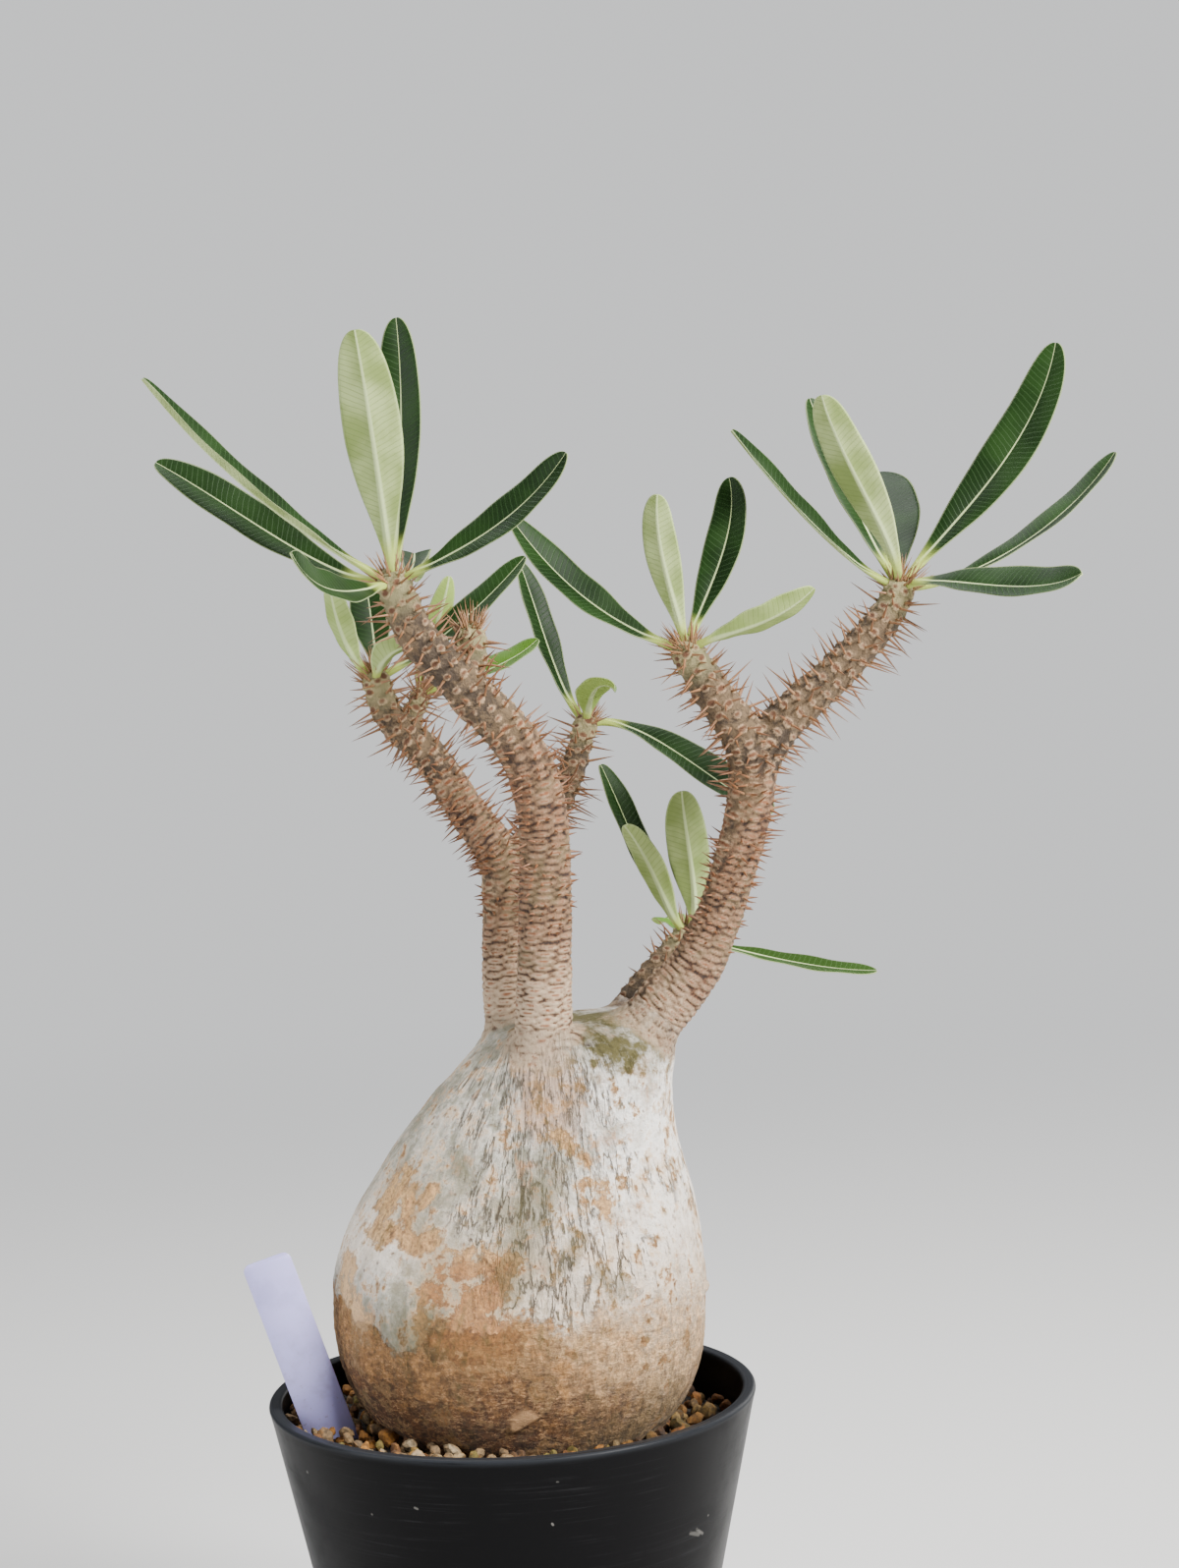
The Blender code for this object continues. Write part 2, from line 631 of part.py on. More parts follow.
def raise_spine(build, face, direction, length, samples):
    """Pull a slim four-sided spine out of one bark face, unless a leaf would touch it."""
    root = face.calc_center_median()
    if not clear_of_leaves(root, root + direction * length, samples):
        return
    foot = bmesh.ops.extrude_discrete_faces(build, faces=[face])["faces"][0]
    side = foot.verts[1].co - foot.verts[0].co
    side = (side - side.project(direction)).normalized() * SPINE_HALF_WIDTH
    up = direction.cross(side)
    for vert, (a, b) in zip(foot.verts, ((-1, -1), (1, -1), (1, 1), (-1, 1))):
        vert.co = root + side * a + up * b + direction * SPINE_HALF_WIDTH
    tip = bmesh.ops.poke(build, faces=[foot])["verts"][0]
    tip.co = root + direction * length


def spine_rows(build, rows, frames, samples, first, phase, spaces):
    """Spines in a spiral up one branch, worn short at its foot and full length towards its tip."""
    length = TUBERCLE_PITCH * (len(samples) - 1)
    count = int((length - first) / SPINE_STEP)
    used = set()
    for i in range(count):
        row = int((first + SPINE_STEP * (i + 0.5)) / TUBERCLE_PITCH)
        column = int((phase + GOLDEN_ANGLE * i) / math.tau * STEM_SIDES) % STEM_SIDES
        if row > len(frames) - 2 or (row, column) in used:
            continue
        used.add((row, column))
        _, tangent, side, up = frames[row]
        angle = (column + 0.5) / STEM_SIDES * math.tau
        outward = side * math.cos(angle) + up * math.sin(angle)
        grown = min(1.0, SPINE_WORN + SPINE_GROWTH * i / count)
        tilt = SPINE_TILTS[0] + (SPINE_TILTS[1] - SPINE_TILTS[0]) * grown
        direction = (outward * math.cos(tilt) + tangent * math.sin(tilt)).normalized()
        spine_length = SPINE_SHORTEST + (SPINE_LONGEST - SPINE_SHORTEST) * grown
        raise_spine(build, rows[row][column], direction, spine_length, spaces)


def spine_tuft(build, rows, frames, spaces):
    """Young spines standing up round the growing point, one from every second face of the dome."""
    point = frames[-1][0]
    for row in (-3, -2):
        for face in rows[row][row % 2::2]:
            direction = (face.calc_center_median() - point).normalized()
            raise_spine(build, face, direction, TUFT_LENGTH, spaces)


def branch_mesh(branch, name, first, phase, spaces):
    """A tube of staggered tubercles with a flat foot, a domed end and its spines."""
    samples = resample([Vector(p) for p in branch], TUBERCLE_PITCH)
    frames = path_frames([p.to_3d() for p in samples])
    last = len(frames) - 1
    rings = []
    for i, (frame, sample) in enumerate(zip(frames, samples)):
        relief = 0 if i in (0, last) else TUBERCLE_HEIGHT
        rings.append(ring_points(frame, sample[3], relief=relief, offset=i))
    point, tangent, side, up = frames[-1]
    radius = samples[-1][3]
    for rise in DOME_RISES:
        centre = point + tangent * radius * math.sin(rise)
        rings.append(ring_points((centre, tangent, side, up), radius * math.cos(rise)))
    build = bmesh.new()
    rows = loft(build, rings, pole=point + tangent * radius)
    spine_rows(build, rows, frames, samples, first, phase, spaces)
    spine_tuft(build, rows, frames, spaces)
    bmesh.ops.triangulate(build, faces=build.faces)
    return mesh_from(build, name)


def make_stem(name, branches, collection, spaces):
    """One stem with its forks and spines, fused in a single solid."""
    forks = new_collection("forks of " + name)
    meshes = []
    for number, branch in enumerate(branches):
        first = SPINES_START[name] if number == 0 else branch[0][3] + FORK_BARE_LENGTH
        meshes.append(branch_mesh(branch, name, first, PHASES[name] + number, spaces))
    stem = add_object(name, meshes[0], "stem", collection)
    for mesh in meshes[1:]:
        add_object("fork", mesh, None, forks)
    if len(branches) > 1:
        fuse_all(stem, forks)
    place(stem, branches[0][0][:3])
    smooth_shade(stem)


# Grit


def grit_height(x, y):
    return GRIT_LEVEL + GRIT_SLOPE_X * x + GRIT_SLOPE_Y * y


def grit_top_ring(share, draw):
    """One ring of the grit's surface, from the pot's wall at share 0 to the caudex at share 1."""
    ring = []
    loose = GRAIN_JITTER if 0 < share < 1 else 0.0
    for angle in circle_angles(GRIT_SIDES):
        outer = Vector((math.cos(angle), math.sin(angle), 0)) * POT_RIM_RADIUS
        outer *= (pot_inner_radius(grit_height(outer.x, outer.y)) - 2 * FIT_GAP) / POT_RIM_RADIUS
        inner = caudex_point(GRIT_LEVEL + POCKET_HEADROOM, angle, SEAT_GAP)
        level = grit_height(inner.x, inner.y)
        inner = caudex_point(level + POCKET_HEADROOM, angle, SEAT_GAP)
        point = outer.lerp(inner, share)
        point.x += draw.uniform(-loose, loose)
        point.y += draw.uniform(-loose, loose)
        point.z = grit_height(point.x, point.y) + draw.uniform(-loose, loose) / 2
        ring.append(point)
    return ring


def make_grit(collection, slot):
    """The pot's filling: a solid with a pocket for the caudex, its surface raised in coarse grains."""
    draw = random.Random(GRIT_SEED)
    bottom = POT_FLOOR + FIT_GAP
    chamfer_top = bottom + GRIT_BOTTOM_CHAMFER
    wall = pot_inner_radius(chamfer_top) - 2 * FIT_GAP
    rings = []
    for height, reach in ((bottom, wall - GRIT_BOTTOM_CHAMFER), (chamfer_top, wall)):
        rings.append([Vector((reach * math.cos(a), reach * math.sin(a), height))
                      for a in circle_angles(GRIT_SIDES)])
    rings += [grit_top_ring(i / GRAIN_ROWS, draw) for i in range(GRAIN_ROWS + 1)]
    for height in sorted((h for h in caudex_heights() if h < GRIT_LEVEL - POCKET_DEEPER), reverse=True):
        level = height - FIT_GAP if height == CAUDEX_SECTIONS[0][0] else height
        rings.append([caudex_point(height, a, SEAT_GAP) for a in circle_angles(GRIT_SIDES)])
        for point in rings[-1]:
            point.z = level
    build = bmesh.new()
    rows = loft(build, rings)
    bmesh.ops.recalc_face_normals(build, faces=build.faces)
    for row in rows[2:2 + GRAIN_ROWS]:
        for face in row:
            bmesh.ops.inset_individual(build, faces=[face], thickness=draw.uniform(*GRAIN_INSET),
                                       depth=draw.uniform(*GRAIN_HEIGHT))
    bmesh.ops.triangulate(build, faces=build.faces)
    grit = add_object("grit", mesh_from(build, "grit"), "grit", collection)
    add_boolean(grit, "DIFFERENCE", slot)
    apply_modifiers(grit)
    weld(grit)


# Plant label


def label_outline(grow=0.0):
    """Rounded top corners, straight sides and a pointed foot, with the top's centre at the origin."""
    half, corner = LABEL_WIDTH / 2 + grow, LABEL_CORNER
    points = []
    for centre_x, start in ((half - corner, 0), (corner - half, 90)):
        for i in range(LABEL_CORNER_STEPS + 1):
            angle = math.radians(start + 90 * i / LABEL_CORNER_STEPS)
            points.append((centre_x + corner * math.cos(angle), grow - corner + corner * math.sin(angle)))
    shoulder, foot = LABEL_POINT - LABEL_LENGTH, -LABEL_LENGTH - grow
    foot_half = LABEL_POINT_WIDTH / 2 + grow
    return points + [(-half, shoulder), (-foot_half, foot), (foot_half, foot), (half, shoulder)]


def label_object(name, grow, kind, collection):
    curve = bpy.data.curves.new(name, "CURVE")
    curve.dimensions = "2D"
    curve.fill_mode = "BOTH"
    curve.extrude = (LABEL_THICKNESS / 2 + grow) * MM
    outline = label_outline(grow)
    spline = curve.splines.new("POLY")
    spline.points.add(len(outline) - 1)
    spline.use_cyclic_u = True
    for point, (x, y) in zip(spline.points, outline):
        point.co = (x * MM, y * MM, 0, 1)
    flat = bpy.data.objects.new(name, curve)
    collection.objects.link(flat)
    down = Vector(LABEL_FOOT_DIRECTION).normalized()
    across = Vector((0, 1, 0)).cross(down).normalized()
    flat.matrix_world = Matrix.Translation(Vector(LABEL_TOP) * MM) @ Matrix(
        (across, -down, across.cross(-down))).transposed().to_4x4()
    mesh = evaluated_mesh(flat)
    build = bmesh.new()
    build.from_mesh(mesh)
    bmesh.ops.remove_doubles(build, verts=build.verts, dist=WELD_DISTANCE * MM)
    bmesh.ops.recalc_face_normals(build, faces=build.faces)
    build.to_mesh(mesh)
    build.free()
    solid = add_object(name + "_solid", mesh, kind, collection)
    solid.matrix_world = flat.matrix_world
    bpy.data.objects.remove(flat, do_unlink=True)
    solid.name = name
    return solid


def main():
    clear_scene()
    plant = new_collection("potted pachypodium")
    cutters = new_collection("cutters")
    make_pot(plant, cutters)
    label_object("label", 0.0, "label", plant)
    slot = label_object("slot_cutter", FIT_GAP, None, cutters)
    mark_cutter(slot)
    make_grit(plant, slot)
    make_caudex(plant)
    for leaf in all_leaves():
        make_leaf(*leaf, plant)
    spaces = leaf_samples()
    for name, branches in STEMS.items():
        make_stem(name, branches, plant, spaces)
    holder = bpy.data.objects.new("potted_pachypodium", None)
    plant.objects.link(holder)
    for piece in plant.objects:
        if piece.type == "MESH":
            piece.parent = holder


main()
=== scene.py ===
"""A potted pachypodium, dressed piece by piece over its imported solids."""

import json
import math
import random

import bmesh
import bpy
import numpy as np
from mathutils import Matrix, Vector, noise

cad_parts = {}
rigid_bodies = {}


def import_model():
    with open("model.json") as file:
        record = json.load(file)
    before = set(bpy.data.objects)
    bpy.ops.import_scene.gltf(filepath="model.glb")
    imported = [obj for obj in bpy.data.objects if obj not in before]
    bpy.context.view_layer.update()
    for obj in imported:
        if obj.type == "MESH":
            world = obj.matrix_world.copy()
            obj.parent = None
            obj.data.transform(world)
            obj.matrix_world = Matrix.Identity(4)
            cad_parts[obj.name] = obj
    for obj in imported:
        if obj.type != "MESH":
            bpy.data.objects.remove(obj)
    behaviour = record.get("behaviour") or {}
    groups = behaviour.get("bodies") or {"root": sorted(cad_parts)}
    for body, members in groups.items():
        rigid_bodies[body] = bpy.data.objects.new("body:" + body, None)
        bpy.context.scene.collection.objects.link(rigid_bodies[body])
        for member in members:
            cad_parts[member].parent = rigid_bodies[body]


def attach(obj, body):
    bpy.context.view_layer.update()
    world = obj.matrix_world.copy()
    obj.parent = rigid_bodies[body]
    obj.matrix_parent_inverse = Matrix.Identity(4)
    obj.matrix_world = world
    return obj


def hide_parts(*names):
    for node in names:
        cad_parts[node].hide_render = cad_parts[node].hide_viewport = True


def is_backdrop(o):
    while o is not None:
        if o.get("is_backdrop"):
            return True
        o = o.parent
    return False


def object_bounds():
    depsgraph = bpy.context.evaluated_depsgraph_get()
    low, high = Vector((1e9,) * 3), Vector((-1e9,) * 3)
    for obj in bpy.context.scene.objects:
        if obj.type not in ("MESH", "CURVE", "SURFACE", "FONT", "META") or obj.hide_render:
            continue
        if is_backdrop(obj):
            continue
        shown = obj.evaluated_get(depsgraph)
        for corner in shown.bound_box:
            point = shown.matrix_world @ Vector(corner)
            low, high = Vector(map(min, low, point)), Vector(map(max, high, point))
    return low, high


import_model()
solid_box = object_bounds()

# Camera
# It stands where the photographer's did: a metre in front of the pot's axis, as high as the upper
# leaves, looking slightly down, with a portrait lens.
CAMERA_PLACE = Vector((0.0, -1.0, 0.398))
CAMERA_PITCH = math.radians(5.25)
CAMERA_YAW = math.radians(-1.78)
CAMERA_ROLL = math.radians(-2.27)
CAMERA_LENS = 76.0


def in_scene(name, data):
    """A new object, linked to the scene."""
    made = bpy.data.objects.new(name, data)
    bpy.context.scene.collection.objects.link(made)
    return made


lens = bpy.data.cameras.new("camera")
lens.lens = CAMERA_LENS
lens.sensor_width = 36.0
lens.clip_end = 100.0
camera = in_scene("camera", lens)
camera.matrix_world = (
    Matrix.Translation(CAMERA_PLACE)
    @ Matrix.Rotation(CAMERA_YAW, 4, "Z")
    @ Matrix.Rotation(math.pi / 2 - CAMERA_PITCH, 4, "X")
    @ Matrix.Rotation(CAMERA_ROLL, 4, "Z")
)
bpy.context.scene.camera = camera

# Light
# Soft boxes of a small studio: the strong one at the right front, a weaker one at the left, and two
# above and behind that draw the edges of leaves and spines. The pale surround that the camera sees
# lights the plant only a little.
SOFT_BOXES = [
    ("key", (0.92, -0.78, 1.0), 0.6, 70.0, (1.0, 0.98, 0.955)),
    ("fill", (-1.25, -0.5, 0.5), 0.9, 20.0, (0.98, 0.985, 1.0)),
    ("top", (-0.1, 0.4, 1.3), 0.9, 15.0, (1.0, 1.0, 1.0)),
    ("back", (0.9, 1.1, 0.6), 0.9, 8.0, (1.0, 0.99, 0.97)),
]
LIT_POINT = Vector((0.02, 0.0, 0.24))
SURROUND_SEEN = (0.86, 0.87, 0.88)
SURROUND_LIGHT = (0.14, 0.142, 0.145)


def add(tree, kind, inputs=None, **settings):
    """Place a node in a tree; inputs gives its sockets values, or other nodes' outputs."""
    made = tree.nodes.new(kind)
    for setting, value in settings.items():
        setattr(made, setting, value)
    for socket, value in (inputs or {}).items():
        if isinstance(value, bpy.types.NodeSocket):
            tree.links.new(value, made.inputs[socket])
        else:
            made.inputs[socket].default_value = value
    return made


for title, place, side, watts, tint in SOFT_BOXES:
    lamp = bpy.data.lights.new(title, "AREA")
    lamp.shape = "SQUARE"
    lamp.size = side
    lamp.energy = watts
    lamp.color = tint
    holder = in_scene(title, lamp)
    holder.location = place
    holder.rotation_euler = (LIT_POINT - Vector(place)).to_track_quat("-Z", "Y").to_euler()

surround = bpy.data.worlds.new("surround")
surround.use_nodes = True
tree = surround.node_tree
light_on_plant = tree.nodes["Background"]
light_on_plant.inputs["Color"].default_value = (*SURROUND_LIGHT, 1.0)
seen_by_camera = add(tree, "ShaderNodeBackground", {"Color": (*SURROUND_SEEN, 1.0)}).outputs[0]
camera_ray = add(tree, "ShaderNodeLightPath").outputs["Is Camera Ray"]
either = add(tree, "ShaderNodeMixShader", {0: camera_ray, 1: light_on_plant.outputs[0], 2: seen_by_camera})
tree.links.new(either.outputs[0], tree.nodes["World Output"].inputs["Surface"])
bpy.context.scene.world = surround

# Floor
# A plain pale sheet under the pot. Away from the pot the camera sees it fade into the surround's
# colour, so that the two meet without a line.
FLOOR_RADIUS = 30.0
FLOOR_SUNK = 0.0004
FLOOR_PALE = (0.62, 0.62, 0.615)
FADE_FROM = 0.2
FADE_TO = 1.5


def fed(kind, inputs, **settings):
    """Place a node in the tree of the outputs that feed it."""
    feeder = next(value for value in inputs.values() if isinstance(value, bpy.types.NodeSocket))
    return add(feeder.id_data, kind, inputs, **settings)


def calc(operation, first, second=0.0):
    """The output of one Math node."""
    return fed("ShaderNodeMath", {0: first, 1: second}, operation=operation).outputs[0]


def times(first, *others):
    for other in others:
        first = calc("MULTIPLY", first, other)
    return first


def vector_calc(operation, first, second=None, scale=None):
    """The output of one Vector Math node."""
    inputs = {0: first}
    if second is not None:
        inputs[1] = second
    if scale is not None:
        inputs["Scale"] = scale
    made = fed("ShaderNodeVectorMath", inputs, operation=operation)
    return made.outputs["Value" if operation in ("LENGTH", "DISTANCE", "DOT_PRODUCT") else "Vector"]


def between(value, low, high):
    """0 where a value is under low, 1 where it is over high, and a smooth rise from one to the other."""
    return fed("ShaderNodeMapRange", {"Value": value, "From Min": low, "From Max": high},
               interpolation_type="SMOOTHSTEP").outputs["Result"]


def new_material(name, roughness, **plain):
    """A material, its shader and the object's own coordinates."""
    made = bpy.data.materials.new(name)
    made.use_nodes = True
    shader = made.node_tree.nodes["Principled BSDF"]
    shader.inputs["Roughness"].default_value = roughness
    for socket, value in plain.items():
        shader.inputs[socket.replace("_", " ")].default_value = value
    return made, shader, add(made.node_tree, "ShaderNodeTexCoord").outputs["Object"]


def built(build, name):
    """The mesh of what was built in a bmesh, which is let go."""
    made = bpy.data.meshes.new(name)
    build.to_mesh(made)
    build.free()
    return made


floor_material, shader, where = new_material("pale floor", 0.9)
tree = floor_material.node_tree
camera_ray = add(tree, "ShaderNodeLightPath").outputs["Is Camera Ray"]
faded = times(between(vector_calc("LENGTH", where), FADE_FROM, FADE_TO), camera_ray)
shader.inputs["Base Color"].default_value = (*FLOOR_PALE, 1.0)
shader.inputs["Specular IOR Level"].default_value = 0.0
plain = add(tree, "ShaderNodeEmission", {"Color": (*SURROUND_SEEN, 1.0)}).outputs[0]
either = add(tree, "ShaderNodeMixShader", {0: faded, 1: shader.outputs[0], 2: plain}).outputs[0]
tree.links.new(either, tree.nodes["Material Output"].inputs["Surface"])

build = bmesh.new()
bmesh.ops.create_circle(build, cap_ends=True, segments=96, radius=FLOOR_RADIUS)
floor_mesh = built(build, "floor")
floor_mesh.materials.append(floor_material)
floor = in_scene("floor", floor_mesh)
floor.location.z = -FLOOR_SUNK
floor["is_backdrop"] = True

# Pot
# A round nursery pot of black injection-moulded plastic: a thin tapered shell with a rounded lip,
# eight drain holes round a flush disc in its base, and a foot ring with four notches.
MM = 0.001
POT_HEIGHT = 120.0
POT_RIM_RADIUS = 75.0
POT_TAPER = 0.215
POT_WALL = 2.4
POT_LIP = 4.2
POT_LIP_DEPTH = 8.0
POT_FLOOR = 4.6
POT_SIDES = 180
LIP_ROUNDING = 1.1
INNER_ROUNDING = 2.0
FOOT_RING_WIDTH = 5.2
FOOT_RECESS = 2.2
DISC_RADIUS = 25.0
DRAIN_HOLES = 8
DRAIN_RADIUS = 4.0
DRAIN_CIRCLE = 34.5
NOTCHES = 4
NOTCH_WIDTH = 7.0
NOTCH_DEPTH = 2.0
POT_BLACK = (0.0022, 0.0022, 0.0026)
POT_DUSTY = (0.035, 0.032, 0.028)
POT_SCRATCHED = (0.024, 0.024, 0.026)
# A bluish grey for the lip's top: a painted highlight along the rim, with some rubbed wear.
POT_LIP_SHEEN_AND_WEAR = (0.020, 0.022, 0.026)
POT_NICKED = (0.25, 0.24, 0.22)
POT_NICKS = [
    ((-29.7, -65.2, 104.4), (-29.0, -65.5, 104.1), 0.5), ((9.7, -69.8, 99.2), (10.0, -69.8, 98.7), 0.45),
    ((11.6, -72.4, 112.1), (12.0, -72.4, 112.0), 0.4), ((51.0, -45.0, 86.2), (53.6, -40.9, 84.4), 0.9),
    ((52.6, -42.4, 86.6), (54.6, -38.9, 84.0), 0.7),
]


def pot_radius(height):
    return POT_RIM_RADIUS - (POT_HEIGHT - height) * POT_TAPER


def pot_inner_radius(height):
    return min(pot_radius(height) - POT_WALL, POT_RIM_RADIUS - POT_LIP)


def arc(centre, radius, start, end, steps):
    """Points of a profile's rounded corner, its angles in degrees."""
    angles = [math.radians(start + (end - start) * i / steps) for i in range(steps + 1)]
    return [(centre[0] + radius * math.cos(a), centre[1] + radius * math.sin(a)) for a in angles]


def mesh_in_mm(name, points, faces):
    """A mesh in metres from points in millimetres, its faces turned outwards."""
    made = bpy.data.meshes.new(name)
    made.from_pydata([Vector(p) * MM for p in points], [], faces)
    turned_out = bmesh.new()
    turned_out.from_mesh(made)
    bmesh.ops.recalc_face_normals(turned_out, faces=turned_out.faces)
    turned_out.to_mesh(made)
    turned_out.free()
    return made


def add_piece(name, mesh, material):
    """An object at the origin, linked to the scene, in one material."""
    mesh.materials.clear()
    mesh.materials.append(material)
    return in_scene(name, mesh)


def evaluated_copy(piece):
    """The piece's mesh as its modifiers leave it."""
    bpy.context.view_layer.update()
    graph = bpy.context.evaluated_depsgraph_get()
    return bpy.data.meshes.new_from_object(piece.evaluated_get(graph), depsgraph=graph)


def turned(profile, sides):
    """Points and faces of a closed profile turned round the Z axis; both its ends lie on the axis."""
    points = [(0.0, 0.0, profile[0][1])]
    for radius, height in profile[1:-1]:
        for k in range(sides):
            angle = math.tau * k / sides
            points.append((radius * math.cos(angle), radius * math.sin(angle), height))
    points.append((0.0, 0.0, profile[-1][1]))
    faces = []
    last_ring = 1 + (len(profile) - 3) * sides
    for k in range(sides):
        after = (k + 1) % sides
        faces.append((0, 1 + k, 1 + after))
        for ring in range(1, last_ring, sides):
            faces.append((ring + k, ring + sides + k, ring + sides + after, ring + after))
        faces.append((last_ring + k, len(points) - 1, last_ring + after))
    return points, faces


def shader_group(name, inputs, outputs):
    """A new node group, the values given to it and the sockets of its result."""
    group = bpy.data.node_groups.new(name, "ShaderNodeTree")
    for title, kind, default in inputs:
        socket = group.interface.new_socket(title, in_out="INPUT", socket_type="NodeSocket" + kind)
        if default is not None:
            socket.default_value = default
    for title, kind in outputs:
        group.interface.new_socket(title, in_out="OUTPUT", socket_type="NodeSocket" + kind)
    return group, group.nodes.new("NodeGroupInput").outputs, group.nodes.new("NodeGroupOutput").inputs


def plus(first, *others):
    for other in others:
        first = calc("ADD", first, other)
    return first


def minus(first, second):
    return calc("SUBTRACT", first, second)


def inverse(value):
    return minus(1.0, value)


def blended(share, first, second, mode="MIX"):
    """Two colours mixed by a share."""
    first, second = ((*c, 1.0) if isinstance(c, tuple) and len(c) == 3 else c for c in (first, second))
    return fed("ShaderNodeMix", {0: share, 6: first, 7: second}, data_type="RGBA", blend_type=mode,
               clamp_factor=True).outputs[2]


def layered(colour, *layers):
    """A colour under further ones, each with its mask and how fully it covers."""
    for mask, cover, over in layers:
        colour = blended(times(mask, cover), colour, over)
    return colour


def split(vector):
    """A vector's X, Y and Z."""
    return fed("ShaderNodeSeparateXYZ", {0: vector}).outputs


def mottle(vector, scale, detail=5.0, roughness=0.6):
    """A noise of about 0.3 to 0.7."""
    return fed("ShaderNodeTexNoise", {"Vector": vector, "Scale": scale, "Detail": detail,
                                      "Roughness": roughness}).outputs[0]


def cells(vector, scale):
    """The distance from the middles of small cells."""
    return fed("ShaderNodeTexVoronoi", {"Vector": vector, "Scale": scale}).outputs["Distance"]


def dress(shader, colour, rough=None, height=None, strength=0.0, depth=0.0, invert=False):
    """Give a material its colour, its roughness where that changes, and its relief of a depth in metres."""
    tree = shader.id_data
    tree.links.new(colour, shader.inputs["Base Color"])
    if rough is not None:
        tree.links.new(rough, shader.inputs["Roughness"])
    if height is not None:
        bump = fed("ShaderNodeBump", {"Height": height, "Strength": strength, "Distance": depth},
                   invert=invert)
        tree.links.new(bump.outputs[0], shader.inputs["Normal"])


def near_line(where, start, end, width):
    """1 along a line between two points given in millimetres, 0 past its width."""
    start, way = Vector(start) * MM, (Vector(end) - Vector(start)) * MM
    along = vector_calc("DOT_PRODUCT", vector_calc("SUBTRACT", where, tuple(start)), tuple(way))
    share = calc("MINIMUM", calc("MAXIMUM", calc("DIVIDE", along, way.length_squared), 0.0), 1.0)
    on_line = vector_calc("ADD", vector_calc("SCALE", tuple(way), scale=share), tuple(start))
    gap = vector_calc("DISTANCE", where, on_line)
    return inverse(between(gap, width * 0.4 * MM, width * MM))


blotches, given, result = shader_group(
    "blotches",
    [("Vector", "Vector", None), ("Scale", "Float", 100.0), ("Level", "Float", 0.5),
     ("Softness", "Float", 0.1), ("Seed", "Float", 0.0)],
    [("Mask", "Float")])
cloud = fed("ShaderNodeTexNoise", {"Vector": given["Vector"], "Scale": given["Scale"], "W": given["Seed"],
                                   "Detail": 5.0, "Roughness": 0.62}, noise_dimensions="4D").outputs[0]
low = minus(given["Level"], given["Softness"])
high = plus(given["Level"], given["Softness"])
blotches.links.new(between(cloud, low, high), result["Mask"])


def blotched(where, scale, level, softness, seed):
    """The mask of soft-edged blotches, placed in a material."""
    return fed("ShaderNodeGroup", {"Vector": where, "Scale": scale, "Level": level, "Softness": softness,
                                   "Seed": seed}, node_tree=blotches).outputs[0]


pot_material, shader, where = new_material("black moulded plastic", 0.4, Specular_IOR_Level=0.07)
x, y, z = split(where)
flat = fed("ShaderNodeCombineXYZ", {"X": x, "Y": y}).outputs[0]
rubbed_way = fed("ShaderNodeCombineXYZ", {"X": times(vector_calc("LENGTH", flat), 30.0),
                                          "Y": times(x, 0.35), "Z": times(z, 22.0)}).outputs[0]
rings = mottle(rubbed_way, 60.0, 6.0, 0.7)
worn = blotched(where, 35.0, 0.56, 0.12, 3.0)
scratches = times(between(rings, 0.53, 0.68), worn)
specks = inverse(between(cells(where, 75.0), 0.028, 0.05))
dust_low = times(blotched(where, 260.0, 0.6, 0.16, 9.0), between(z, 0.035, -0.005))
# The top of the lip is painted a bluish grey: a painted highlight along the rim, with some rubbed wear.
lip_sheen_and_wear = times(between(z, 0.1175, 0.1198), between(rings, 0.3, 0.5))
colour = layered(POT_BLACK, (scratches, 0.6, POT_SCRATCHED), (dust_low, 0.5, POT_DUSTY),
                 (lip_sheen_and_wear, 0.9, POT_LIP_SHEEN_AND_WEAR), (specks, 0.35, POT_NICKED))
for start, end, width in POT_NICKS:
    nick = times(near_line(where, start, end, width), between(rings, 0.35, 0.5))
    colour = layered(colour, (nick, 0.2 / width, POT_NICKED))
rough = plus(0.36, times(worn, 0.1), times(scratches, 0.15))
height = plus(times(mottle(where, 2200.0, 3.0, 0.5), 0.35), times(rings, 0.65))
dress(shader, colour, rough, height, 0.25, 0.00012)

lip_inner = POT_RIM_RADIUS - POT_LIP
lip_foot = POT_HEIGHT - POT_LIP_DEPTH
foot_outer = pot_radius(1.2)
foot_inner = foot_outer - FOOT_RING_WIDTH
profile = [(0, POT_FLOOR), (DISC_RADIUS, POT_FLOOR)]
profile += arc((pot_inner_radius(POT_FLOOR) - INNER_ROUNDING, POT_FLOOR + INNER_ROUNDING), INNER_ROUNDING,
               -90, 0, 5)
profile += [(pot_inner_radius(POT_HEIGHT * share), POT_HEIGHT * share) for share in (0.25, 0.5, 0.75)]
profile += [(pot_inner_radius(lip_foot), lip_foot), (lip_inner, lip_foot + POT_LIP_DEPTH / 2)]
profile += arc((lip_inner + LIP_ROUNDING, POT_HEIGHT - LIP_ROUNDING), LIP_ROUNDING, 180, 90, 5)
profile += [(POT_RIM_RADIUS - POT_LIP / 2, POT_HEIGHT - 0.12)]
profile += arc((POT_RIM_RADIUS - LIP_ROUNDING - 0.1, POT_HEIGHT - LIP_ROUNDING), LIP_ROUNDING, 90, -12, 6)
profile += [(pot_radius(POT_HEIGHT * share), POT_HEIGHT * share) for share in (0.96, 0.75, 0.5, 0.25, 0.06)]
profile += arc((foot_outer - 1.0, 1.0), 1.0, 0, -90, 4)
profile += arc((foot_inner + 0.5, 0.5), 0.5, -90, -180, 3)
profile += [(foot_inner - 0.2, FOOT_RECESS), (DISC_RADIUS + 0.6, FOOT_RECESS), (DISC_RADIUS, 0.4),
            (DISC_RADIUS - 0.4, 0), (0, 0)]
pot = add_piece("pot_shell", mesh_in_mm("pot shell", *turned(profile, POT_SIDES)), pot_material)

cutters = bpy.data.collections.new("pot cutters")
bpy.context.scene.collection.children.link(cutters)


